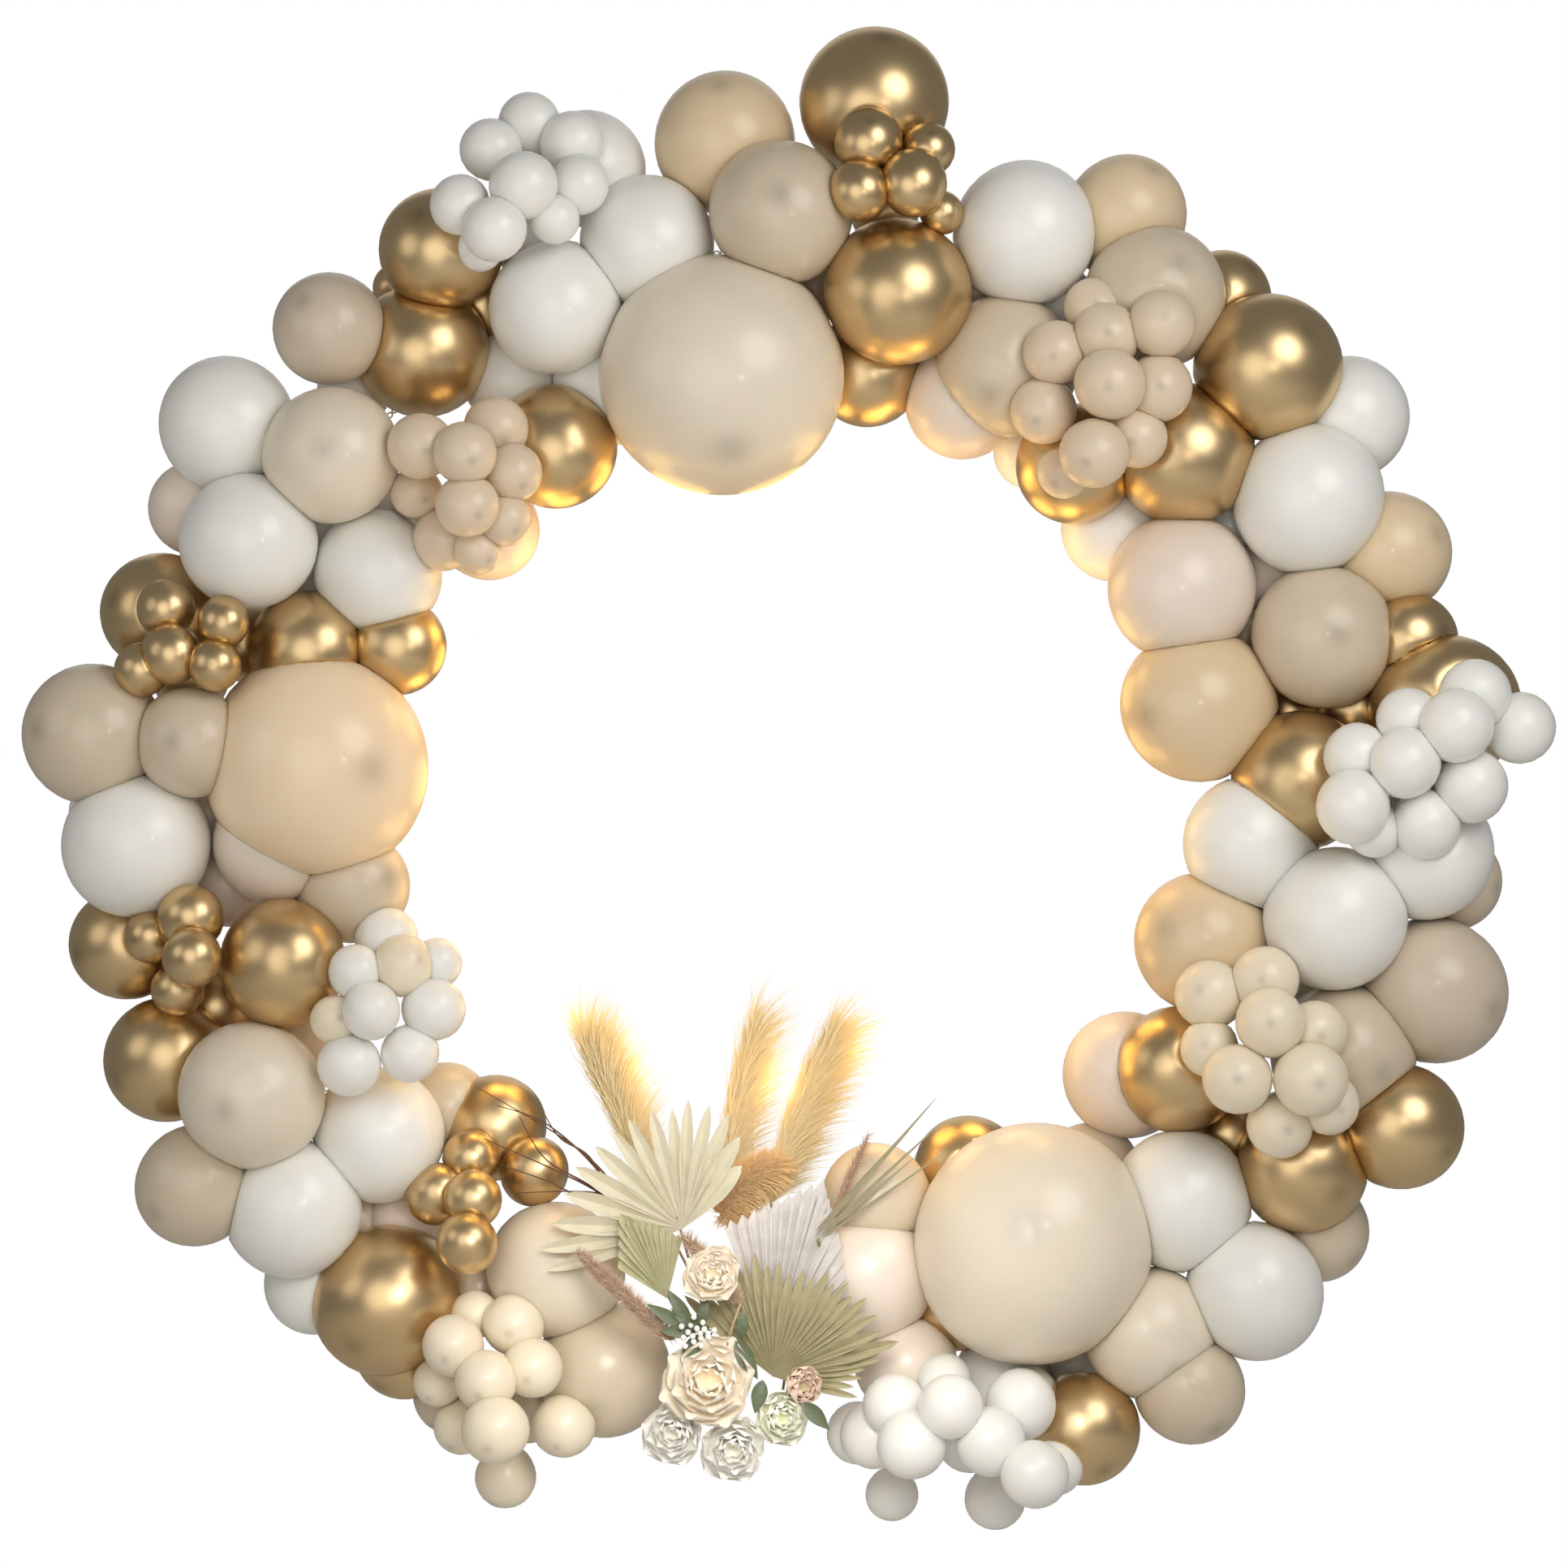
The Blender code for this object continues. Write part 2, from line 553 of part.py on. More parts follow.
def make_bouquet():
    """Palm fans, plumes and roses, their stems side by side on the strip."""
    make_fan("beige_palm_fan", 2, (841, 1514),
             [(695, 1471), (709, 1438), (774, 1378), (802, 1367), (828, 1367), (848, 1355),
              (874, 1362), (912, 1367), (912, 1433)], 0.86, PALM_DEPTH, (0.64, 0.58, 0.42))
    make_fan("small_green_palm_fan", 1, (822, 1600),
             [(762, 1553), (764, 1495), (800, 1505), (836, 1521)], 0.96,
             PALM_DEPTH + 0.03, (0.42, 0.44, 0.27))
    make_fan("white_palm_fan", 8, (950, 1670),
             [(900, 1503), (958, 1478), (1015, 1453), (1029, 1498), (1043, 1581)], 0.98,
             PALM_DEPTH - 0.015, (0.80, 0.77, 0.74))
    make_fan("large_olive_palm_fan", 10, (952, 1696),
             [(843, 1596), (900, 1550), (929, 1543), (991, 1562), (1022, 1564), (1046, 1579),
              (1069, 1598), (1082, 1619), (1108, 1653), (1063, 1698), (1057, 1722)],
             0.95, PALM_DEPTH + 0.015, (0.55, 0.50, 0.33))
    make_plume("left_pampas_plume", 3, [(800, 1470), (783, 1405), (757, 1345), (738, 1305), (725, 1280)],
               PAMPAS_DEPTH, PAMPAS_DIAMETER, (0.2, 0.75, 1.0, 0.6, 0.15), (0.80, 0.62, 0.36))
    make_plume("middle_pampas_plume", 6, [(895, 1470), (905, 1400), (915, 1345), (926, 1300), (933, 1261)],
               PAMPAS_DEPTH, PAMPAS_DIAMETER, (0.2, 0.8, 0.85, 0.5, 0.12), (0.80, 0.62, 0.36))
    make_plume("right_pampas_plume", 9, [(950, 1480), (970, 1420), (995, 1360), (1015, 1315), (1030, 1275)],
               PAMPAS_DEPTH, PAMPAS_DIAMETER, (0.2, 0.85, 1.0, 0.8, 0.3), (0.80, 0.62, 0.36))
    make_plume("left_foxtail", 0, [(828, 1650), (800, 1625), (770, 1598), (738, 1568), (711, 1542)],
               FOXTAIL_DEPTH + 0.015, FOXTAIL_DIAMETER, (0.3, 0.9, 1.0, 0.85, 0.2), (0.52, 0.35, 0.25))
    make_plume("right_foxtail", 7, [(912, 1606), (895, 1585), (878, 1562), (858, 1540), (842, 1524)],
               FOXTAIL_DEPTH, FOXTAIL_DIAMETER, (0.3, 0.9, 1.0, 0.85, 0.2), (0.52, 0.35, 0.25),
               [(896, 1668, FOXTAIL_DEPTH - 0.01)])
    pale = (0.88, 0.84, 0.76)
    make_rose("front_rose", 5, (874, 1700, ROSE_DEPTH + 0.005), ROSE_DIAMETERS["front"],
              (0.0, 0.15), (0.88, 0.76, 0.62))
    make_rose("upper_rose", 4, (878, 1568, ROSE_DEPTH + 0.005), ROSE_DIAMETERS["upper"],
              (0.0, 0.3), (0.88, 0.78, 0.64), [(868, 1652, FOXTAIL_DEPTH - 0.01)])
    make_rose("left_white_rose", 1.5, (828, 1768, LOW_ROSE_DEPTH), ROSE_DIAMETERS["left"],
              (-0.2, -0.2), pale)
    make_rose("middle_white_rose", 3.5, (904, 1788, LOW_ROSE_DEPTH), ROSE_DIAMETERS["middle"],
              (0.0, -0.3), pale)
    make_rose("right_white_rose", 9.5, (966, 1748, LOW_ROSE_DEPTH), ROSE_DIAMETERS["right"],
              (0.3, 0.0), pale)


def main():
    for old in list(bpy.data.objects):
        bpy.data.objects.remove(old)
    make_strip()
    make_balloons()
    make_bouquet()


main()
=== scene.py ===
"""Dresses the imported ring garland: inflated balloons, strip links, palms, plumes and roses."""

import json
import math

import bmesh
import bpy
import numpy as np
from mathutils import Matrix, Vector


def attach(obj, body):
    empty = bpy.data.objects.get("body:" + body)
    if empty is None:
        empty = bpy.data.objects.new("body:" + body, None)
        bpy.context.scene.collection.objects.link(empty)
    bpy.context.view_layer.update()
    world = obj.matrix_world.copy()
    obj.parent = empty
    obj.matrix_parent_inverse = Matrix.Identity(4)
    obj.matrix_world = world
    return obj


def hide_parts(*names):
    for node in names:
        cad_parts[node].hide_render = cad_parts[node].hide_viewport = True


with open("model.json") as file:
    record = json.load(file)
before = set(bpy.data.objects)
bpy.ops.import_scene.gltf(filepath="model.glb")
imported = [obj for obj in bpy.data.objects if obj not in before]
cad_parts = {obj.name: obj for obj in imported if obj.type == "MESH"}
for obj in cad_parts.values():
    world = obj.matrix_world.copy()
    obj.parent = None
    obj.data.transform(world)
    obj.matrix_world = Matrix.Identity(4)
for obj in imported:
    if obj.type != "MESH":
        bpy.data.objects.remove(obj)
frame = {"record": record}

bl_info = {
    "name": "Ring balloon garland",
    "version": (1, 0, 0),
    "blender": (4, 5, 0),
    "location": "3D Viewport > Sidebar > Garland",
    "description": "Builds a ring garland of pressed balloons with a dried flower bouquet",
    "category": "Add Mesh",
}

# Sizes shared with the solids, in metres
STRIP_DIAMETER, STRIP_WIDTH, STRIP_THICKNESS = 2.0, 0.012, 0.002
MINI_DIAMETER, LARGE_DIAMETER, HUGE_DIAMETER = 0.123, 0.261, 0.440
NECK_LENGTH, NECK_STRETCH, CLEARANCE = 0.006, 1.14, 0.0004
PRESS, MATE_PRESS = 0.95, 0.83
MINI_SWELL, LARGE_SWELL, HUGE_SWELL = 1.08, 1.05, 1.02
STRIP_CENTRE, STRIP_STEPS = (960, 975), 667
MINI_STEPS, LARGE_STEPS, HUGE_STEPS = 41, 87, 147
STEM_DIAMETER, TIE_FIRST, TIE_SPACING = 0.005, 846, 13.5
PALM_THICKNESS, PALM_FOLD = 0.0015, 0.9
PAMPAS_DEPTH, PALM_DEPTH, FOXTAIL_DEPTH, ROSE_DEPTH, LOW_ROSE_DEPTH = 0.16, 0.35, 0.41, 0.47, 0.43
PAMPAS_DIAMETER, FOXTAIL_DIAMETER = 0.085, 0.034

# Depths of the pieces that only this script has
GRASS_BASE, GRASS_TIP, STRAND_DEPTH, THIN_FOXTAIL_DEPTH = 0.36, 0.34, 0.34, 0.33
LEAF_BASE, LEAF_TIP, BUD_DEPTH = 0.445, 0.455, 0.42

# Kinds of balloon: diameter, usual radius in grid steps, swell, length of the crown, sides and rings
MINI_KIND = (MINI_DIAMETER, MINI_STEPS, MINI_SWELL, 1.03, (24, 13))
LARGE_KIND = (LARGE_DIAMETER, LARGE_STEPS, LARGE_SWELL, 1.07, (36, 22))
HUGE_KIND = (HUGE_DIAMETER, HUGE_STEPS, HUGE_SWELL, 1.0, (56, 34))
HUGE_ABOVE = 120  # a balloon is huge when its radius in grid steps is more

# Layers of balloons, from the strip outwards, and how far out their centres may come
BACK, MIDDLE, FRONT, MINI, MINI_FRONT = range(5)
FURTHEST = (0.19, 0.22, 0.28, 0.36, 0.42)

HIDDEN_FURTHEST = 0.29
TOUCHING = 1.12  # two balloons press on each other when their spacing is less
OVERLAP = 0.0015  # how far a soft skin passes the plane of contact, so that no light shows through

# Warm lamps inside the ring, the floor, the room's light and the view
GLOW_LAMPS, GLOW_RADIUS, GLOW_DEPTH = 16, 0.54, 0.16
FLOOR_REACH, FLOOR_HEIGHT = 6, -2.6
ROOM_LIGHT = 0.22
VIEW_STEPS, VIEW_DEPTH = 1932, 9.0

FORWARD = Vector((0, -1, 0))  # away from the wall
ASKEW = Vector((0.31, 0.12, 0.94))  # crossed with the axis of a body it gives the way to its side
GOLDEN_ANGLE = 2.39996

# Tints of the latex
W = (0.91, 0.90, 0.86)  # white
B = (0.85, 0.74, 0.64)  # blush
S = (0.68, 0.58, 0.44)  # sand
T = (0.66, 0.56, 0.44)  # taupe
C = (0.78, 0.62, 0.41)  # cream
L = (0.90, 0.80, 0.63)  # light cream
N = (0.83, 0.74, 0.60)  # nude
M = (0.78, 0.65, 0.49)  # nude of the minis
P = (0.96, 0.76, 0.54)  # peach
G = (0.69, 0.51, 0.28)  # chrome gold

# Every balloon of the solids: place across, place down, radius in grid steps, layer, tint
BALLOONS = {
    "gold_balloons_top": [
        (1077, 126, 90, MIDDLE, G), (1069, 181, 42, MINI, G), (1136, 224, 42, MINI, G),
        (1058, 243, 38, MINI, G),
    ],
    "cream_and_sand_balloons_top": [(893, 176, 85, MIDDLE, C), (962, 262, 88, FRONT, S)],
    "gold_balloons_inner_top": [(1106, 359, 90, FRONT, G), (1060, 478, 68, BACK, G)],
    "huge_balloon_top": [(889, 462, 148, FRONT, N)],
    "pale_balloons_upper_right": [
        (1262, 288, 88, MIDDLE, W), (1399, 265, 74, BACK, C), (1423, 366, 87, MIDDLE, S),
    ],
    "nude_balloons_upper_right": [
        (1240, 450, 87, MIDDLE, S), (1188, 492, 72, BACK, B),
        (1384, 407, 41, MINI, M), (1442, 397, 42, MINI, M), (1306, 433, 40, MINI, M),
        (1368, 480, 44, MINI_FRONT, M), (1431, 478, 42, MINI, M), (1293, 514, 41, MINI, M),
        (1344, 560, 43, MINI_FRONT, M), (1395, 551, 38, MINI, M),
    ],
    "gold_balloons_upper_right": [
        (1503, 373, 62, BACK, G), (1562, 453, 90, MIDDLE, G), (1459, 560, 88, MIDDLE, G),
        (1309, 572, 73, MIDDLE, G),
    ],
    "white_balloons_upper_right": [(1660, 515, 74, BACK, W), (1612, 614, 93, MIDDLE, W)],
    "pale_balloons_inner_right": [
        (1375, 650, 65, BACK, W), (1457, 724, 90, MIDDLE, B), (1478, 868, 94, MIDDLE, C),
    ],
    "sand_balloons_right": [(1715, 674, 76, BACK, C), (1631, 784, 88, MIDDLE, S)],
    "gold_balloons_outer_right": [(1735, 790, 60, BACK, G), (1780, 872, 90, MIDDLE, G)],
    "gold_balloon_inner_right": [(1602, 962, 86, MIDDLE, G)],
    "white_balloons_right": [
        (1785, 1085, 62, BACK, S), (1775, 1035, 83, MIDDLE, W), (1645, 1132, 88, FRONT, W),
        (1520, 1020, 83, MIDDLE, W),
        (1818, 856, 44, MINI, W), (1735, 886, 39, MINI, W), (1801, 895, 46, MINI_FRONT, W),
        (1886, 907, 44, MINI, W), (1672, 926, 41, MINI, W), (1732, 940, 44, MINI_FRONT, W),
        (1816, 966, 45, MINI, W), (1667, 994, 46, MINI_FRONT, W), (1757, 1016, 43, MINI, W),
        (1690, 1022, 35, MINI, W),
    ],
    "cream_balloons_lower_right": [
        (1485, 1162, 86, MIDDLE, C),
        (1491, 1231, 43, MINI, L), (1562, 1207, 42, MINI, L), (1565, 1260, 43, MINI_FRONT, L),
        (1620, 1273, 40, MINI, L), (1490, 1298, 36, MINI, L), (1525, 1330, 43, MINI_FRONT, L),
        (1615, 1330, 46, MINI_FRONT, L), (1637, 1360, 38, MINI, L), (1570, 1389, 41, MINI, L),
    ],
    "sand_balloons_lower_right": [(1765, 1220, 89, MIDDLE, T), (1655, 1300, 88, MIDDLE, S)],
    "gold_balloon_inner_lower_right": [(1453, 1318, 78, MIDDLE, G)],
    "pale_balloon_inner_lower_right": [(1388, 1325, 76, BACK, B)],
    "gold_balloons_outer_lower_right": [(1742, 1380, 76, MIDDLE, G), (1605, 1438, 80, MIDDLE, G)],
    "white_balloons_lower_right": [
        (1456, 1480, 87, MIDDLE, W), (1545, 1590, 84, MIDDLE, W), (1640, 1500, 62, BACK, S),
        (1402, 1650, 82, MIDDLE, N), (1465, 1710, 67, MIDDLE, S),
    ],
    "huge_balloon_lower_right": [(1273, 1533, 147, FRONT, N)],
    "gold_balloon_bottom": [(1335, 1760, 68, MIDDLE, G)],
    "white_balloons_bottom": [
        (1235, 1700, 60, BACK, W),
        (1040, 1765, 38, MINI, W), (1050, 1811, 42, MINI_FRONT, W), (1099, 1724, 38, MINI, W),
        (1118, 1785, 43, MINI_FRONT, W), (1167, 1730, 40, MINI_FRONT, W),
        (1249, 1740, 44, MINI_FRONT, W), (1305, 1747, 38, MINI, W),
        (1201, 1801, 43, MINI_FRONT, W), (1278, 1819, 42, MINI_FRONT, W),
        (1151, 1852, 41, MINI, W),
    ],
    "gold_balloon_inner_bottom": [(1195, 1445, 68, BACK, G)],
    "gold_balloon_low_bottom": [(1175, 1600, 65, BACK, G)],
    "pale_balloons_inner_bottom": [
        (1120, 1690, 62, BACK, B), (1072, 1571, 82, MIDDLE, B), (1080, 1480, 68, MIDDLE, S),
    ],
    "cream_balloons_bottom_left": [
        (752, 1705, 82, MIDDLE, S), (685, 1565, 84, MIDDLE, N),
        (551, 1650, 38, MINI, L), (625, 1642, 38, MINI, L), (590, 1704, 38, MINI_FRONT, L),
        (662, 1699, 37, MINI, L), (612, 1772, 42, MINI_FRONT, L), (685, 1770, 39, MINI, L),
    ],
    "gold_balloon_bottom_left": [(478, 1602, 92, MIDDLE, G)],
    "gold_balloons_inner_lower_left": [
        (608, 1390, 64, MIDDLE, G), (675, 1462, 42, MIDDLE, G),
        (516, 1494, 39, MINI, G), (564, 1448, 35, MINI, G), (608, 1481, 36, MINI, G),
        (574, 1542, 38, MINI, G),
    ],
    "white_balloons_lower_left": [(480, 1387, 82, MIDDLE, W), (360, 1488, 85, MIDDLE, W)],
    "gold_balloon_left": [(348, 1187, 78, FRONT, G)],
    "gold_balloons_outer_left": [
        (158, 1162, 69, MIDDLE, G),
        (262, 1117, 41, MINI, G), (200, 1150, 33, MINI, G), (237, 1193, 37, MINI_FRONT, G),
    ],
    "gold_balloon_outer_lower_left": [(207, 1305, 77, MIDDLE, G)],
    "nude_balloons_lower_left": [(243, 1460, 74, MIDDLE, S), (310, 1350, 90, FRONT, N)],
    "pale_balloons_left": [
        (168, 1040, 90, MIDDLE, W), (110, 893, 85, MIDDLE, S), (240, 915, 68, FRONT, S),
    ],
    "huge_balloon_left": [(389, 944, 138, MIDDLE, P)],
    "white_balloons_inner_left": [
        (338, 1040, 75, MIDDLE, B), (432, 1092, 70, MIDDLE, S),
        (482, 1165, 38, MINI, W), (538, 1187, 31, MINI, W), (497, 1190, 38, MINI, L),
        (438, 1198, 34, MINI, W), (534, 1243, 39, MINI, W), (408, 1258, 31, MINI, L),
        (460, 1252, 36, MINI_FRONT, W), (431, 1315, 39, MINI, W), (505, 1298, 36, MINI, W),
    ],
    "gold_balloons_upper_left": [
        (200, 755, 73, MIDDLE, G),
        (205, 749, 36, MINI, G), (276, 763, 32, MINI, G), (212, 817, 38, MINI_FRONT, G),
        (281, 823, 33, MINI, G),
    ],
    "gold_balloons_inner_left": [(378, 800, 72, MIDDLE, G), (495, 795, 60, MIDDLE, G)],
    "white_balloons_upper_left": [
        (232, 620, 57, BACK, B), (285, 512, 83, MIDDLE, W), (306, 667, 84, FRONT, W),
    ],
    "white_balloon_inner_upper_left": [(465, 706, 78, MIDDLE, W)],
    "nude_balloon_upper_left": [(408, 561, 84, FRONT, N)],
    "nude_balloons_inner_upper_left": [
        (600, 650, 62, BACK, B), (530, 650, 50, BACK, T),
        (601, 500, 40, MINI, M), (514, 549, 41, MINI, M), (572, 550, 39, MINI_FRONT, M),
        (632, 574, 37, MINI, M), (568, 620, 39, MINI_FRONT, M),
        (624, 637, 33, MINI, M), (549, 667, 38, MINI, M), (600, 682, 29, MINI, M),
    ],
    "gold_and_nude_balloons_top_left": [
        (520, 432, 82, MIDDLE, G), (547, 290, 75, MIDDLE, G), (405, 405, 68, MIDDLE, T),
    ],
    "gold_balloon_inner_top_left": [(685, 550, 74, MIDDLE, G)],
    "white_balloons_top_left": [
        (715, 195, 70, BACK, W), (797, 300, 83, MIDDLE, W), (665, 392, 82, FRONT, W),
        (765, 480, 75, BACK, W),
        (645, 148, 38, MINI, W), (597, 190, 38, MINI, W), (702, 172, 39, MINI, W),
        (561, 248, 37, MINI, W), (640, 223, 42, MINI_FRONT, W), (715, 236, 37, MINI, W),
        (608, 284, 40, MINI_FRONT, W), (678, 277, 31, MINI, W),
    ],
}

# Balloons almost hidden behind others, which the solids leave out
HIDDEN = {
    "hidden_gold_balloons": ("gold_latex", [
        (1144, 184, 33, MINI, G), (1160, 262, 27, MINI, G), (500, 1660, 62, BACK, G),
        (219, 1219, 33, MINI, G), (175, 825, 34, MINI, G), (490, 355, 30, BACK, G),
        (270, 1238, 52, BACK, G), (1518, 1398, 56, BACK, G), (595, 375, 46, BACK, G),
        (300, 790, 50, BACK, G), (235, 836, 45, BACK, G), (1590, 878, 46, BACK, G),
        (1668, 874, 52, BACK, G), (1090, 262, 42, BACK, G),
    ]),
    "hidden_white_balloons": ("white_latex", [
        (1790, 945, 40, MINI, W), (1285, 1710, 40, BACK, W), (1164, 1700, 33, MINI, W),
        (1300, 1808, 34, MINI, W), (1099, 1842, 32, MINI, W), (1226, 1847, 37, MINI, W),
        (390, 1580, 62, BACK, W), (590, 305, 30, MINI, W), (130, 1000, 42, BACK, W),
        (440, 1500, 45, BACK, B), (1270, 555, 45, BACK, W), (628, 466, 58, BACK, W),
        (1514, 648, 50, BACK, W), (437, 478, 45, BACK, W), (652, 298, 45, BACK, W),
        (396, 655, 45, BACK, W), (382, 722, 42, BACK, W), (1302, 376, 50, BACK, W),
        (474, 625, 45, BACK, W), (1553, 706, 52, BACK, B), (283, 1092, 50, BACK, B),
        (500, 1502, 52, BACK, B), (383, 1288, 50, BACK, B), (1329, 1680, 46, BACK, W),
        (258, 1001, 46, BACK, B), (1602, 1224, 50, BACK, W), (1204, 362, 42, BACK, W),
    ]),
    "hidden_sand_balloons": ("sand_latex", [
        (560, 1715, 50, BACK, S), (548, 1365, 55, BACK, S), (1345, 1445, 60, BACK, T),
        (588, 1588, 48, BACK, S), (650, 1730, 46, BACK, S), (1004, 350, 46, BACK, S),
        (1538, 780, 46, BACK, C),
    ]),
    "hidden_cream_and_nude_balloons": ("cream_latex", [
        (585, 1620, 30, MINI, L), (540, 1702, 31, MINI, L), (568, 1758, 34, MINI, L),
        (623, 1820, 37, MINI, L), (1349, 380, 38, MINI, M), (1314, 580, 38, MINI, M),
        (513, 607, 32, MINI, M),
    ]),
}


def place(across, down, depth):
    """The point at this place on the grid and this depth in front of the wall."""
    step = STRIP_DIAMETER / 2 / STRIP_STEPS
    x = (across - STRIP_CENTRE[0]) * step
    z = (STRIP_CENTRE[1] - down) * step - STRIP_DIAMETER / 2
    return Vector((x, -depth, z))


# Balloons

class Balloon:
    """One balloon: its node, radius, centre, axis and tint.

    It keeps its place beside the node's largest balloon, which stands at the grid place root.
    """

    def __init__(self, node, root, across, down, steps, layer, tint):
        self.node, self.layer, self.tint = node, layer, tint
        kind = MINI_KIND if layer >= MINI else HUGE_KIND if steps > HUGE_ABOVE else LARGE_KIND
        diameter, usual_steps, swell, self.long, self.grain = kind
        self.radius = diameter / 2 * steps / usual_steps
        self.nearest = STRIP_THICKNESS + NECK_LENGTH + self.radius * swell * NECK_STRETCH
        step = self.radius / steps
        beside = Vector(((across - root[0]) * step, 0.0, (root[1] - down) * step))
        self.centre = place(*root, self.nearest) + beside

    def aim(self):
        """Turns the neck to the nearest point of the strip."""
        middle = place(*STRIP_CENTRE, 0.0)
        out = Vector((self.centre.x - middle.x, 0.0, self.centre.z - middle.z)).normalized()
        self.axis = (self.centre - middle - out * STRIP_DIAMETER / 2).normalized()


def root_place(members):
    """The grid place of a node's largest balloon."""
    return max(members, key=lambda member: member[2])[:2]


def spacing(first, second):
    """The distance of two centres as a share of the two radii together."""
    return (first.centre - second.centre).length / (first.radius + second.radius)


def rest_on(balloon, others):
    """Moves a balloon forwards until it rests on the others."""
    for other in others:
        reach = PRESS * (balloon.radius + other.radius)
        across = balloon.centre - other.centre
        apart = math.hypot(across.x, across.z)
        if apart < reach:
            balloon.centre.y = min(balloon.centre.y,
                                   other.centre.y - math.sqrt(reach**2 - apart**2))
    balloon.centre.y = max(balloon.centre.y, -FURTHEST[balloon.layer])


def gather(mates):
    """Draws the balloons tied together in one node up against each other."""
    together = [max(mates, key=lambda balloon: balloon.radius)]
    loose = [balloon for balloon in mates if balloon is not together[0]]
    while loose:
        share, k, m = min((spacing(one, other), k, m) for k, one in enumerate(loose)
                          for m, other in enumerate(together))
        balloon = loose.pop(k)
        if share > MATE_PRESS:
            between = balloon.centre - together[m].centre
            balloon.centre = together[m].centre + between * (MATE_PRESS / share)
        together.append(balloon)


def settled_balloons():
    """All balloons of the solids from the strip outwards, then the hidden ones."""
    waiting = [Balloon(node, root_place(members), *member)
               for node, members in BALLOONS.items() for member in members]
    waiting.sort(key=lambda balloon: balloon.layer)
    placed = []
    for balloon in waiting:
        rest_on(balloon, placed)
        placed.append(balloon)
    for node in BALLOONS:
        gather([balloon for balloon in placed if balloon.node == node])
    for piece, (_, members) in HIDDEN.items():
        for member in members:
            balloon = Balloon(piece, member[:2], *member)
            rest_on(balloon, [other for other in placed if other.layer < balloon.layer])
            balloon.centre.y = max(balloon.centre.y, -HIDDEN_FURTHEST)
            placed.append(balloon)
    for balloon in placed:
        balloon.centre.y = min(balloon.centre.y, -balloon.nearest)
        balloon.aim()
    return placed


def balloon_profile(rings):
    """(along, width, crown) shares from the crown over the neck to the rolled lip."""
    rows = []
    for k in range(rings + 1):
        angle = 0.93 * math.pi * k / rings
        along, width = math.cos(angle), math.sin(angle)
        if along < 0:
            width *= 1 - 0.10 * along * along
            along *= 1.11
        rows.append((along, width, math.exp(-((angle / 0.16) ** 2))))
    for along, width in ((-1.125, 0.11), (-1.145, 0.075), (-1.155, 0.095), (-1.165, 0.07),
                         (-1.18, 0.11), (-1.187, 0.12), (-1.192, 0.09), (-1.185, 0.0)):
        rows.append((along, width, 0.0))
    return rows


def balloon_mesh(balloon, number, neighbours):
    """(points, faces, crown values) of an inflated balloon pressed by its neighbours."""
    sides, rings = balloon.grain
    axis = balloon.axis
    side = axis.cross(ASKEW).normalized()
    up = side.cross(axis).normalized()
    plump = balloon.long + 0.02 * math.sin(number * 2.4)
    points, crown = [], []
    rows = balloon_profile(rings)
    for along, width, near in rows:
        centre = balloon.centre + axis * along * balloon.radius * (plump if along > 0 else 1.0)
        if width < 1e-6:
            points.append(centre)
            crown.append(near)
            continue
        for k in range(sides):
            turn = 2 * math.pi * k / sides
            reach = width * balloon.radius * (1.015 + 0.012 * math.cos(2 * turn + number))
            points.append(centre + side * math.cos(turn) * reach + up * math.sin(turn) * reach)
            crown.append(near)
    return press(np.array(points), balloon, neighbours), lathe_faces(len(rows), sides), crown


def lathe_faces(count, sides):
    """Faces of a body turned from rows of points whose first and last rows are single points."""
    faces = [(0, 1 + (k + 1) % sides, 1 + k) for k in range(sides)]
    for row in range(count - 3):
        low, high = 1 + row * sides, 1 + (row + 1) * sides
        for k in range(sides):
            after = (k + 1) % sides
            faces.append((low + k, low + after, high + after, high + k))
    last = 1 + (count - 2) * sides
    faces += [(last - sides + k, last - sides + (k + 1) % sides, last) for k in range(sides)]
    return faces


def press(points, balloon, neighbours):
    """Flattens the points at the plane of contact with each neighbour, first softly, then sharply."""
    centre = np.array(balloon.centre)
    for soft in (0.012 * balloon.radius, 0.001 * balloon.radius):
        for other in neighbours:
            between = np.array(other.centre) - centre
            span = float(np.linalg.norm(between))
            normal = between / span
            along = (span**2 + balloon.radius**2 - other.radius**2) / (2 * span) + OVERLAP
            beyond = (points - centre) @ normal - along
            inside = -soft * np.logaddexp(0.0, -beyond / soft)
            points = points + np.outer(inside - beyond, normal)
    return points


# Meshes of several bodies

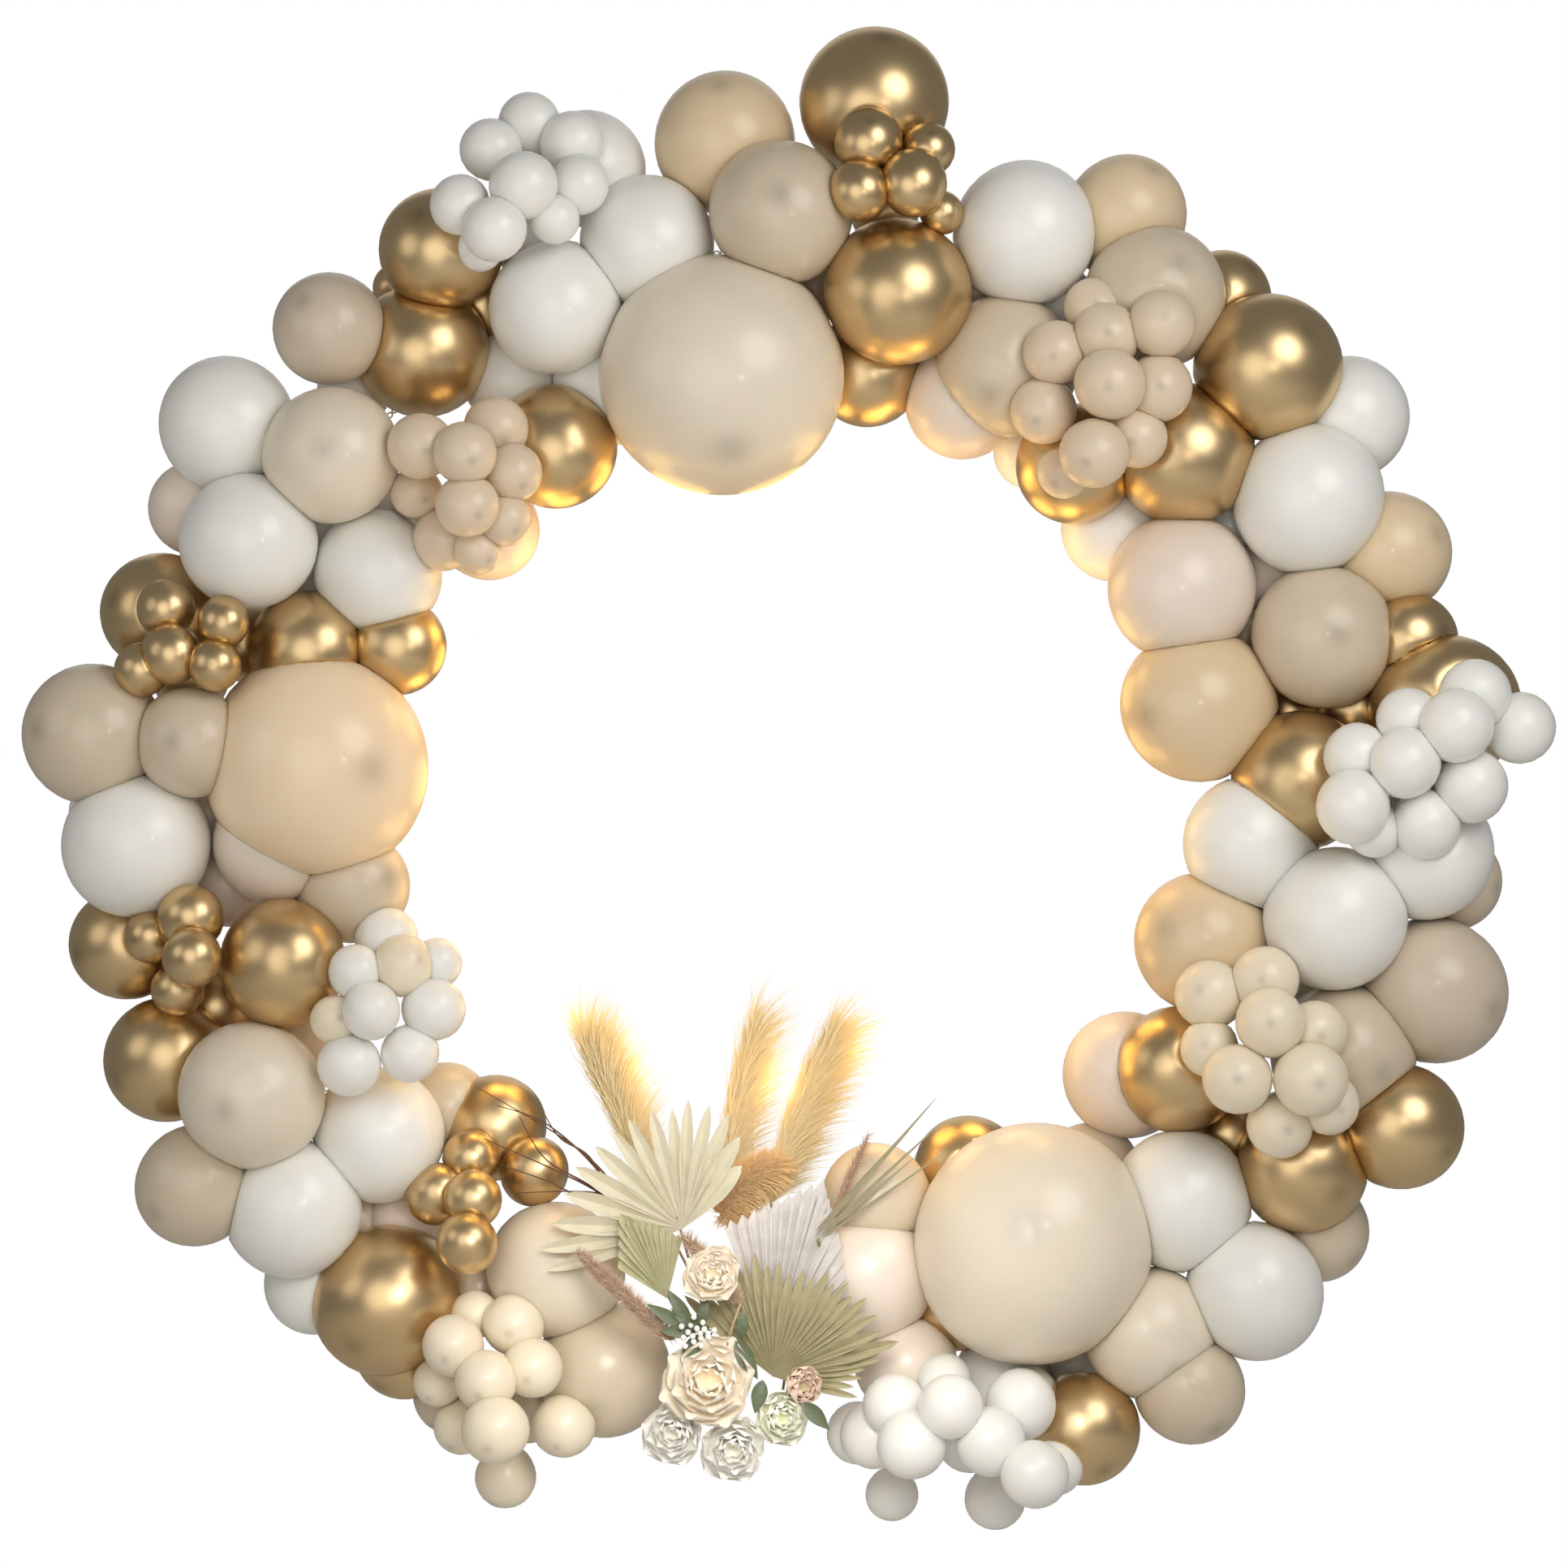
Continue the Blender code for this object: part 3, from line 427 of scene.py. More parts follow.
class Build:
    """Gathers bodies with their values into one mesh."""

    def __init__(self):
        self.points, self.faces, self.slots, self.tints, self.along = [], [], [], [], []

    def add(self, points, faces, slot=0, tint=(0.5, 0.5, 0.5), along=0.0):
        """Adds points and faces with their material slot, tint and along value or values."""
        start = len(self.points)
        self.points += [tuple(point) for point in points]
        self.faces += [tuple(start + k for k in face) for face in faces]
        self.slots += [slot] * len(faces)
        self.tints += [(*tint, 1.0)] * len(points)
        self.along += [along] * len(points) if isinstance(along, float) else list(along)

    def shape(self, shape, slot=0):
        """Adds a shape of (points, faces, along)."""
        points, faces, along = shape
        self.add(points, faces, slot, along=along)

    def add_mesh(self, mesh, matrix=Matrix.Identity(4)):
        """Adds a baked mesh, moved by the matrix, with its along values."""
        values = [0.5] * len(mesh.vertices)
        if "along" in mesh.attributes:
            values = [item.value for item in mesh.attributes["along"].data]
        points = [matrix @ vertex.co for vertex in mesh.vertices]
        self.add(points, [tuple(face.vertices) for face in mesh.polygons], along=values)

    def piece(self, name, materials, slot, *nodes):
        """The finished object, which rides on the root and stands for the nodes."""
        mesh = bpy.data.meshes.new(name)
        mesh.from_pydata(self.points, [], self.faces)
        for material in materials:
            mesh.materials.append(material)
        mesh.polygons.foreach_set("material_index", self.slots)
        tint = mesh.attributes.new("tint", "FLOAT_COLOR", "POINT")
        tint.data.foreach_set("color", np.array(self.tints, np.float32).ravel())
        along = mesh.attributes.new("along", "FLOAT", "POINT")
        along.data.foreach_set("value", np.array(self.along, np.float32))
        bm = bmesh.new()
        bm.from_mesh(mesh)
        bmesh.ops.recalc_face_normals(bm, faces=bm.faces)
        bm.to_mesh(mesh)
        bm.free()
        mesh.shade_smooth()
        mesh.set_sharp_from_angle(angle=math.radians(50))
        piece = bpy.data.objects.new(name, mesh)
        bpy.context.scene.collection.objects.link(piece)
        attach(piece, "root")
        if nodes:
            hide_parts(*nodes)
        return piece


def skin(rings, sides):
    """(points, faces, along) of a tube through rings of (centre, axis, radius), closed at both ends."""
    points, along = [rings[0][0]], [0.0]
    for number, (centre, axis, radius) in enumerate(rings):
        side = axis.cross(ASKEW).normalized()
        up = axis.cross(side).normalized()
        for k in range(sides):
            turn = 2 * math.pi * k / sides
            points.append(centre + (side * math.cos(turn) + up * math.sin(turn)) * radius)
            along.append(number / (len(rings) - 1))
    points.append(rings[-1][0])
    along.append(1.0)
    return points, lathe_faces(len(rings) + 2, sides), along


def smooth_path(points, count):
    """Points along a smooth line through the given ones."""
    path = []
    last = len(points) - 1
    for k in range(count + 1):
        passed = last * k / count
        n = min(int(passed), last - 1)
        t = passed - n
        a, b, c, d = (points[min(max(n + m, 0), last)] for m in (-1, 0, 1, 2))
        path.append(0.5 * (2 * b + (c - a) * t + (2 * a - 5 * b + 4 * c - d) * t**2
                           + (3 * b - 3 * c + d - a) * t**3))
    return path


def tube(points, radius, sides=8, count=14):
    """A round stem along a smooth line."""
    path = smooth_path(points, count)
    rings = []
    for k, point in enumerate(path):
        ahead = (path[min(k + 1, count)] - path[max(k - 1, 0)]).normalized()
        share = radius(k / count) if callable(radius) else radius
        rings.append((point, ahead, share))
    return skin(rings, sides)


def tie_point(number):
    """Where a stem ends, just in front of the strip."""
    across = TIE_FIRST + number * TIE_SPACING
    down = STRIP_CENTRE[1] + math.sqrt(STRIP_STEPS**2 - (across - STRIP_CENTRE[0]) ** 2)
    return place(across, down, STRIP_THICKNESS + CLEARANCE)


def stem_points(number, via, end):
    """The points of a stem from its tie on the strip to its end."""
    return [tie_point(number), *(place(*point) for point in via), end]


def blade_width(widest, power, least=0.0):
    """The half width of a blade at each share of its length."""
    return lambda share: widest * math.sin(math.pi * share**power) + least


def folded_blade(start, end, half_width, fold, thickness, face, sag=0.0, count=10):
    """(points, faces, along) of a leaflet folded along its middle, pointed at both ends.

    half_width gives the half width at each share of the length, face is the way it faces.
    """
    run = end - start
    side = run.cross(face).normalized()
    points, along = [start], [0.0]
    for k in range(1, count):
        share = k / count
        middle = start + run * share - face * sag * share**2
        width = half_width(share)
        rise = face * fold * width
        points += [middle - side * width + rise, middle + face * thickness / 2,
                   middle + side * width + rise, middle - face * thickness / 2]
        along += [share] * 4
    points.append(end - face * sag)
    along.append(1.0)
    return points, lathe_faces(count + 1, 4), along


# Nodes

def add_node(tree, kind, inputs=None, **settings):
    """A node with these settings. inputs gives sockets or values by the name or number of an input."""
    node = tree.nodes.new(kind)
    for label, value in settings.items():
        setattr(node, label, value)
    for label, value in (inputs or {}).items():
        if isinstance(value, bpy.types.NodeSocket):
            tree.links.new(value, node.inputs[label])
        else:
            node.inputs[label].default_value = value
    return node


def maths(tree, operation, *operands):
    """The result of a maths node. Each operand is a socket or a number."""
    return add_node(tree, "ShaderNodeMath", dict(enumerate(operands)), operation=operation).outputs[0]


def node_tree(name, sockets):
    """A geometry node tree with these inputs. Returns the tree and its given sockets."""
    tree = bpy.data.node_groups.new(name, "GeometryNodeTree")
    tree.interface.new_socket(name="Geometry", in_out="INPUT", socket_type="NodeSocketGeometry")
    for label, kind in sockets:
        tree.interface.new_socket(name=label, in_out="INPUT", socket_type="NodeSocket" + kind)
    tree.interface.new_socket(name="Geometry", in_out="OUTPUT", socket_type="NodeSocketGeometry")
    return tree, tree.nodes.new("NodeGroupInput").outputs


def end_tree(tree, scatter, material):
    """Ends a tree in Realize Instances and Set Material."""
    realize = add_node(tree, "GeometryNodeRealizeInstances", {"Geometry": scatter.outputs["Instances"]})
    paint = add_node(tree, "GeometryNodeSetMaterial", {
        "Geometry": realize.outputs["Geometry"], "Material": material})
    add_node(tree, "NodeGroupOutput", {"Geometry": paint.outputs["Geometry"]})
    return tree


def bristle_tree():
    """Bristles that stand on a core, leaning along its lift."""
    tree, given = node_tree("bristles", (
        ("Density", "Float"), ("Length", "Float"), ("Thickness", "Float"), ("Lift", "Vector"),
        ("Seed", "Int"), ("Material", "Material")))
    spread = add_node(tree, "GeometryNodeDistributePointsOnFaces", {
        "Mesh": given["Geometry"], "Density": given["Density"], "Seed": given["Seed"]})
    cone = add_node(tree, "GeometryNodeMeshCone", {
        "Vertices": 3, "Side Segments": 3, "Radius Bottom": given["Thickness"], "Depth": given["Length"]})
    position = add_node(tree, "GeometryNodeInputPosition")
    height = add_node(tree, "ShaderNodeSeparateXYZ", {0: position.outputs[0]}).outputs["Z"]
    share = maths(tree, "DIVIDE", height, given["Length"])
    store = add_node(tree, "GeometryNodeStoreNamedAttribute", {
        "Name": "along", "Geometry": cone.outputs["Mesh"], "Value": share})
    sag = maths(tree, "MULTIPLY", maths(tree, "POWER", share, 2.0),
                maths(tree, "MULTIPLY", given["Length"], 0.35))
    bend = add_node(tree, "ShaderNodeCombineXYZ", {"X": sag})
    droop = add_node(tree, "GeometryNodeSetPosition", {
        "Geometry": store.outputs["Geometry"], "Offset": bend.outputs[0]})
    jitter = add_node(tree, "FunctionNodeRandomValue", {
        0: (-0.55, -0.55, -0.55), 1: (0.55, 0.55, 0.55), "Seed": given["Seed"]}, data_type="FLOAT_VECTOR")
    lean = add_node(tree, "ShaderNodeVectorMath", {0: spread.outputs["Normal"], 1: given["Lift"]})
    both = add_node(tree, "ShaderNodeVectorMath", {0: lean.outputs[0], 1: jitter.outputs[0]})
    align = add_node(tree, "FunctionNodeAlignRotationToVector", {"Vector": both.outputs[0]}, axis="Z")
    size = add_node(tree, "FunctionNodeRandomValue", {2: 0.40, 3: 1.30})
    scatter = add_node(tree, "GeometryNodeInstanceOnPoints", {
        "Points": spread.outputs["Points"], "Instance": droop.outputs["Geometry"],
        "Rotation": align.outputs["Rotation"], "Scale": size.outputs[1]})
    return end_tree(tree, scatter, given["Material"])


def link_tree():
    """Copies of one link side by side round a circle."""
    tree, given = node_tree("strip links", (
        ("Count", "Int"), ("Radius", "Float"), ("Material", "Material")))
    circle = add_node(tree, "GeometryNodeCurvePrimitiveCircle", {
        "Resolution": 360, "Radius": given["Radius"]})
    points = add_node(tree, "GeometryNodeCurveToPoints", {
        "Curve": circle.outputs["Curve"], "Count": given["Count"]})
    align = add_node(tree, "FunctionNodeAlignRotationToVector", {"Vector": points.outputs["Tangent"]},
                     axis="X", pivot_axis="Z")
    scatter = add_node(tree, "GeometryNodeInstanceOnPoints", {
        "Points": points.outputs["Points"], "Instance": given["Geometry"],
        "Rotation": align.outputs["Rotation"]})
    return end_tree(tree, scatter, given["Material"])


def petal_tree():
    """Petals turned round a rose's axis, closed in the middle and open at the rim."""
    tree, given = node_tree("petals", (
        ("Petals", "Int"), ("Closed", "Float"), ("Open", "Float"), ("Smallest", "Float"),
        ("Seed", "Int"), ("Material", "Material")))
    points = add_node(tree, "GeometryNodePoints", {"Count": given["Petals"]})
    index = add_node(tree, "GeometryNodeInputIndex").outputs[0]
    share = maths(tree, "DIVIDE", index, given["Petals"])
    chance = add_node(tree, "FunctionNodeRandomValue", {"Seed": given["Seed"]}).outputs[1]
    turn = maths(tree, "MULTIPLY_ADD", index, GOLDEN_ANGLE, maths(tree, "MULTIPLY", chance, 0.5))
    opening = maths(tree, "SUBTRACT", given["Open"], given["Closed"])
    tilt = maths(tree, "MULTIPLY_ADD", opening, maths(tree, "POWER", share, 1.3), given["Closed"])
    wobble = maths(tree, "MULTIPLY_ADD", chance, 0.12, tilt)
    growth = maths(tree, "SUBTRACT", 1.0, given["Smallest"])
    size = maths(tree, "MULTIPLY_ADD", growth, maths(tree, "POWER", share, 0.7), given["Smallest"])
    euler = add_node(tree, "ShaderNodeCombineXYZ", {"X": wobble, "Z": turn})
    scatter = add_node(tree, "GeometryNodeInstanceOnPoints", {
        "Points": points.outputs[0], "Instance": given["Geometry"], "Rotation": euler.outputs[0],
        "Scale": size})
    return end_tree(tree, scatter, given["Material"])


def baked(tree, points, faces, values, along=None):
    """The mesh that a node tree makes of this one. values are its inputs by name."""
    mesh = bpy.data.meshes.new("core")
    mesh.from_pydata([tuple(point) for point in points], [], faces)
    if along is not None:
        mesh.attributes.new("along", "FLOAT", "POINT").data.foreach_set("value", along)
    helper = bpy.data.objects.new("core", mesh)
    bpy.context.scene.collection.objects.link(helper)
    modifier = helper.modifiers.new("nodes", "NODES")
    modifier.node_group = tree
    names = {item.name: item.identifier for item in tree.interface.items_tree
             if item.in_out == "INPUT"}
    for label, value in values.items():
        modifier[names[label]] = value
    graph = bpy.context.evaluated_depsgraph_get()
    result = bpy.data.meshes.new_from_object(helper.evaluated_get(graph))
    helper.modifiers.remove(modifier)
    bpy.data.objects.remove(helper)
    return result


# Materials

def noisy_material(name, scale, detail, roughness, metallic=0.0, **sockets):
    """A material with noise in its roughness, and its node tree, shader, place and noise."""
    material = bpy.data.materials.new(name)
    material.use_nodes = True
    tree = material.node_tree
    shader = tree.nodes["Principled BSDF"]
    spot = add_node(tree, "ShaderNodeTexCoord").outputs["Object"]
    noise = add_node(tree, "ShaderNodeTexNoise", {
        "Vector": spot, "Scale": scale, "Detail": detail}).outputs["Fac"]
    spread = add_node(tree, "ShaderNodeMapRange", {
        "Value": noise, "To Min": roughness[0], "To Max": roughness[1]})
    tree.links.new(spread.outputs["Result"], shader.inputs["Roughness"])
    shader.inputs["Metallic"].default_value = metallic
    for label, value in sockets.items():
        shader.inputs[label.replace("_", " ").title()].default_value = value
    return material, tree, shader, spot, noise


def surface(name, low, high, by=None, scale=8.0, share=0.5, roughness=(0.4, 0.5), bump=0.0,
            bump_scale=60.0, **sockets):
    """A material between two colours by noise, or by an attribute with a share of noise."""
    material, tree, shader, spot, noise = noisy_material(name, scale, 4.0, roughness, **sockets)
    factor = noise
    if by:
        value = add_node(tree, "ShaderNodeAttribute", attribute_name=by).outputs["Fac"]
        factor = add_node(tree, "ShaderNodeMix", {
            "Factor": share, "A": value, "B": noise}).outputs["Result"]
    colour = add_node(tree, "ShaderNodeMix", {
        "Factor": factor, "A": (*low, 1.0), "B": (*high, 1.0)}, data_type="RGBA")
    tree.links.new(colour.outputs["Result"], shader.inputs["Base Color"])
    if bump:
        fine = add_node(tree, "ShaderNodeTexNoise", {
            "Vector": spot, "Scale": bump_scale, "Detail": 3.0}).outputs["Fac"]
        relief = add_node(tree, "ShaderNodeBump", {"Strength": bump, "Distance": 0.002, "Height": fine})
        tree.links.new(relief.outputs["Normal"], shader.inputs["Normal"])
    return material


def latex(name, darken, roughness, metallic, **sockets):
    """Latex tinted by the mesh, mottled a little, with a darker spot at the crown."""
    material, tree, shader, _, noise = noisy_material(name, 5.0, 5.0, roughness, metallic, **sockets)
    tint = add_node(tree, "ShaderNodeAttribute", attribute_name="tint").outputs["Color"]
    crown = add_node(tree, "ShaderNodeAttribute", attribute_name="along").outputs["Fac"]
    mottle = add_node(tree, "ShaderNodeMapRange", {
        "Value": noise, "To Min": 0.93, "To Max": 1.05}).outputs["Result"]
    shade = maths(tree, "MULTIPLY_ADD", crown, -darken, mottle)
    scaled = add_node(tree, "ShaderNodeVectorMath", {0: tint, "Scale": shade}, operation="SCALE")
    tree.links.new(scaled.outputs[0], shader.inputs["Base Color"])
    return material


# Operators

class GARLAND_PG_settings(bpy.types.PropertyGroup):
    """Settings of the garland's fine detail."""

    link_length: bpy.props.FloatProperty(
        name="Link length", description="Length of one link of the strip",
        default=0.0125, unit="LENGTH")
    bristle_density: bpy.props.FloatProperty(
        name="Bristle density", description="Bristles on a square metre of a plume's core",
        default=110000.0, subtype="UNSIGNED")
    rose_petals: bpy.props.IntProperty(
        name="Petals", description="Petals of a rose", default=24, subtype="UNSIGNED")
    glow: bpy.props.FloatProperty(
        name="Warm glow", description="Power of each warm lamp inside the ring",
        default=0.7, subtype="POWER")


class GARLAND_OT_strip(bpy.types.Operator):
    """Adds the decorating strip as a ring of pierced links"""

    bl_idname = "garland.strip"
    bl_label = "Decorating strip"

    def execute(self, context):
        plastic = surface("clear strip", (0.80, 0.79, 0.75), (0.90, 0.90, 0.88), scale=40.0,
                          roughness=(0.18, 0.32), transmission_weight=0.25)
        settings = context.scene.garland
        count = round(math.pi * STRIP_DIAMETER / settings.link_length)
        points, faces = [], []
        sides = 14
        for radius, height in ((1, 0), (1, 1), (0.5, 1), (0.5, 0)):
            for k in range(sides):
                turn = 2 * math.pi * k / sides
                points.append(Vector((math.cos(turn) * radius * settings.link_length * 0.54,
                                      math.sin(turn) * radius * STRIP_WIDTH / 2,
                                      height * STRIP_THICKNESS * 0.8)))
        for row in range(4):
            for k in range(sides):
                after = (k + 1) % sides
                below = (row + 1) % 4 * sides
                faces.append((row * sides + k, row * sides + after, below + after, below + k))
        ring = baked(link_tree(), points, faces, {
            "Count": count, "Radius": STRIP_DIAMETER / 2, "Material": plastic})
        build = Build()
        turn = Matrix.Translation(place(*STRIP_CENTRE, 0.0)) @ Matrix.Rotation(math.pi / 2, 4, "X")
        build.add_mesh(ring, turn)
        build.piece("strip_links", [plastic], "strip_plastic", "strip")
        return {"FINISHED"}


class GARLAND_OT_balloons(bpy.types.Operator):
    """Adds every balloon, pressed against its neighbours"""

    bl_idname = "garland.balloons"
    bl_label = "Balloons"

    def execute(self, context):
        satin = latex("satin latex", 0.26, (0.30, 0.40), 0.0, subsurface_weight=0.25,
                      subsurface_scale=0.03, coat_weight=0.2, coat_roughness=0.12)
        chrome = latex("chrome gold latex", 0.30, (0.29, 0.38), 1.0)
        placed = settled_balloons()
        slots = {entry["node"]: entry["material_slot"] for entry in frame["record"]["subparts"]}
        bodies = {}
        for number, balloon in enumerate(placed):
            near = [other for other in placed if other is not balloon
                    and spacing(balloon, other) < TOUCHING
                    and (balloon.node in HIDDEN or other.node in BALLOONS)]
            bodies.setdefault(balloon.node, []).append(
                (balloon, balloon_mesh(balloon, number, near)))
        for node, members in bodies.items():
            build = Build()
            materials = []
            for balloon, (points, faces, crown) in members:
                material = chrome if balloon.tint == G else satin
                if material not in materials:
                    materials.append(material)
                spot = 0.0 if balloon.tint in (W, B) else 1.0
                build.add(points, faces, materials.index(material), balloon.tint,
                          [value * spot for value in crown])
            if node in BALLOONS:
                build.piece(node + "_inflated", materials, slots[node], node)
            else:
                build.piece(node, materials, HIDDEN[node][0])
        return {"FINISHED"}


def leaflet_tips(hub, tips, between):
    """The tips, with one between each two at that share of the way from the hub, where it isn't 0."""
    every = []
    for first, second in zip(tips, tips[1:]):
        every.append(first)
        if between:
            every.append(tuple(Vector(hub).lerp((Vector(first) + Vector(second)) / 2, between)))
    return every + [tips[-1]]


def palm_fan(build, number, hub, tips, between, notch, depth):
    """Adds a palm leaf's folded leaflets and its stalk."""
    root = place(*hub, depth + 0.004)
    ends = [place(*tip, depth + 0.002) for tip in leaflet_tips(hub, tips, between)]
    for k, end in enumerate(ends):
        beside = [ends[m] for m in (k - 1, k + 1) if 0 <= m < len(ends)]
        apart = sum((end - other).length for other in beside) / len(beside)

        def half_width(share, apart=apart):
            taper = max(0.05, (max(0.0, 1 - share) / (1 - notch)) ** 0.65)
            return 0.62 * apart * share * (1.0 if share < notch else taper)

        build.shape(folded_blade(root, end, half_width, PALM_FOLD, PALM_THICKNESS, FORWARD, count=14))
    middle = Vector(hub).lerp(Vector(tips[len(tips) // 2]), 0.10)
    build.shape(tube(stem_points(number, (), place(*middle, depth + 0.006)), STEM_DIAMETER / 2), 1)


class GARLAND_OT_palms(bpy.types.Operator):
    """Adds the four dried palm leaves"""

    bl_idname = "garland.palms"
    bl_label = "Palm leaves"

    def execute(self, context):
        stem = surface("dried stem", (0.30, 0.24, 0.13), (0.42, 0.35, 0.20), scale=60.0,
                       roughness=(0.7, 0.85), bump=0.3)

        def palm(name, low, high):
            return surface(name, low, high, by="along", share=0.45, scale=35.0, roughness=(0.6, 0.8),
                           bump=0.5, bump_scale=260.0)

        leaves = (
            ("beige_palm_fan", palm("beige palm", (0.50, 0.45, 0.32), (0.84, 0.78, 0.60)), 2, (841, 1514),
             [(674, 1566), (664, 1540), (680, 1508), (695, 1471), (709, 1438), (733, 1412),
              (754, 1392), (774, 1378), (802, 1367), (828, 1367), (848, 1355), (874, 1362),
              (898, 1372), (912, 1400), (914, 1436)], 0, 0.52, PALM_DEPTH, "dried_palm"),
            ("small_green_palm_fan", palm("green palm", (0.30, 0.29, 0.15), (0.58, 0.55, 0.34)), 1,
             (822, 1600), [(762, 1553), (764, 1524), (764, 1495), (782, 1500), (800, 1505),
                           (818, 1513), (836, 1521)], 1, 0.96, PALM_DEPTH + 0.03, "green_palm"),
            ("white_palm_fan", palm("white palm", (0.31, 0.27, 0.24), (0.84, 0.80, 0.76)), 8, (950, 1670),
             [(900, 1503), (929, 1490), (958, 1478), (986, 1465), (1015, 1453), (1022, 1476),
              (1029, 1498), (1036, 1540), (1043, 1581)], 1, 0.97, PALM_DEPTH - 0.015, "white_palm"),
            ("large_olive_palm_fan", palm("olive palm", (0.19, 0.16, 0.07), (0.53, 0.47, 0.29)), 10,
             (952, 1696), [(843, 1596), (871, 1573), (900, 1550), (929, 1543), (960, 1552), (991, 1562),
                           (1022, 1564), (1046, 1579), (1069, 1598), (1082, 1619), (1108, 1653),
                           (1085, 1675), (1063, 1698), (1057, 1722)], 0.93, 0.60,
             PALM_DEPTH + 0.015, "dried_palm"),
        )
        for node, material, number, hub, tips, between, notch, depth, slot in leaves:
            build = Build()
            palm_fan(build, number, hub, tips, between, notch, depth)
            build.piece(node + "_leaflets", [material, stem], slot, node)
        return {"FINISHED"}


def plume(points, diameter, shares, style, seed, material):
    """A build with a plume's core and bristles along a smooth line. shares gives its widths."""
    core, density, length, thickness, lean = style

    def radius(share):
        n = min(int(share * 4), 3)
        return diameter / 2 * core * (shares[n] + (shares[n + 1] - shares[n]) * (share * 4 - n))

    body = tube(points, radius, 10, 20)
    lift = (points[-1] - points[0]).normalized() * lean
    build = Build()
    build.shape(body)
    build.add_mesh(baked(bpy.data.node_groups["bristles"], body[0], body[1], {
        "Density": density * bpy.context.scene.garland.bristle_density, "Length": length,
        "Thickness": thickness, "Lift": tuple(lift), "Seed": seed, "Material": material}))
    return build


class GARLAND_OT_plumes(bpy.types.Operator):
    """Adds the pampas plumes and the foxtails with their bristles"""

    bl_idname = "garland.plumes"
    bl_label = "Pampas and foxtails"

    def execute(self, context):
        stem = surface("plume stem", (0.42, 0.30, 0.15), (0.55, 0.42, 0.24), scale=60.0,
                       roughness=(0.7, 0.85), bump=0.3)
        pampas = surface("pampas", (1.0, 0.92, 0.62), (0.94, 0.76, 0.46), by="along", share=0.55,
                         scale=90.0, roughness=(0.8, 0.95), sheen_weight=0.4)
        brown = surface("curly plume", (0.66, 0.43, 0.17), (1.0, 0.76, 0.42), by="along", share=0.4,
                        scale=30.0, roughness=(0.8, 0.95), sheen_weight=0.4)
        foxtail = surface("foxtail", (0.32, 0.19, 0.11), (0.84, 0.63, 0.46), by="along", share=0.3,
                          scale=60.0, roughness=(0.8, 0.95), sheen_weight=0.3)
        bristle_tree()
        # Styles: shares of core and of density, length and thickness of a bristle, lean
        tall = (0.30, 1.2, 0.085, 0.0016, 2.3)
        curly = (0.50, 1.7, 0.028, 0.0016, 0.4)
        fox = (0.50, 1.9, 0.019, 0.0009, 1.0)
        plumes = (
            ("left_pampas_plume", 3, [(800, 1470), (783, 1405), (757, 1345), (738, 1305), (725, 1280)],
             PAMPAS_DEPTH, PAMPAS_DIAMETER, (0.2, 0.9, 1.2, 0.9, 0.25), (), pampas, tall),
            ("middle_pampas_plume", 6, [(895, 1470), (905, 1400), (915, 1345), (926, 1300), (933, 1261)],
             PAMPAS_DEPTH, PAMPAS_DIAMETER, (0.2, 0.8, 0.85, 0.5, 0.12), (), pampas, tall),
            ("right_pampas_plume", 9, [(950, 1480), (970, 1420), (995, 1360), (1015, 1315), (1030, 1275)],
             PAMPAS_DEPTH, PAMPAS_DIAMETER, (0.4, 1.0, 1.2, 0.9, 0.35), (), pampas, tall),
            ("left_foxtail", 0, [(828, 1650), (800, 1625), (770, 1598), (738, 1568), (711, 1542)],
             FOXTAIL_DEPTH + 0.015, FOXTAIL_DIAMETER, (0.5, 1.0, 1.0, 0.85, 0.2), (), foxtail, fox),
            ("right_foxtail", 7, [(912, 1606), (895, 1585), (878, 1562), (858, 1540), (842, 1524)],
             FOXTAIL_DEPTH, FOXTAIL_DIAMETER, (0.3, 0.9, 1.0, 0.85, 0.2),
             ((896, 1668, FOXTAIL_DEPTH - 0.01),), foxtail, fox),
            ("curly_plume", 7.5, [(896, 1500), (908, 1478), (922, 1460), (940, 1448), (962, 1440)],
             PAMPAS_DEPTH + 0.07, 0.085, (0.7, 1.1, 1.2, 1.2, 0.8), (), brown, curly),
        )
        for seed, (node, number, path, depth, diameter, shares, via, material, style) in enumerate(plumes):
            points = [place(*spot, depth) for spot in path]
            build = plume(points, diameter, shares, style, seed, material)
            build.shape(tube(stem_points(number, via, points[0]), STEM_DIAMETER / 2), 1)
            slot = "foxtail" if material == foxtail else "pampas"
            if node == "curly_plume":
                build.piece(node, [material, stem], slot)
            else:
                build.piece(node + "_bristles", [material, stem], slot, node)
        return {"FINISHED"}


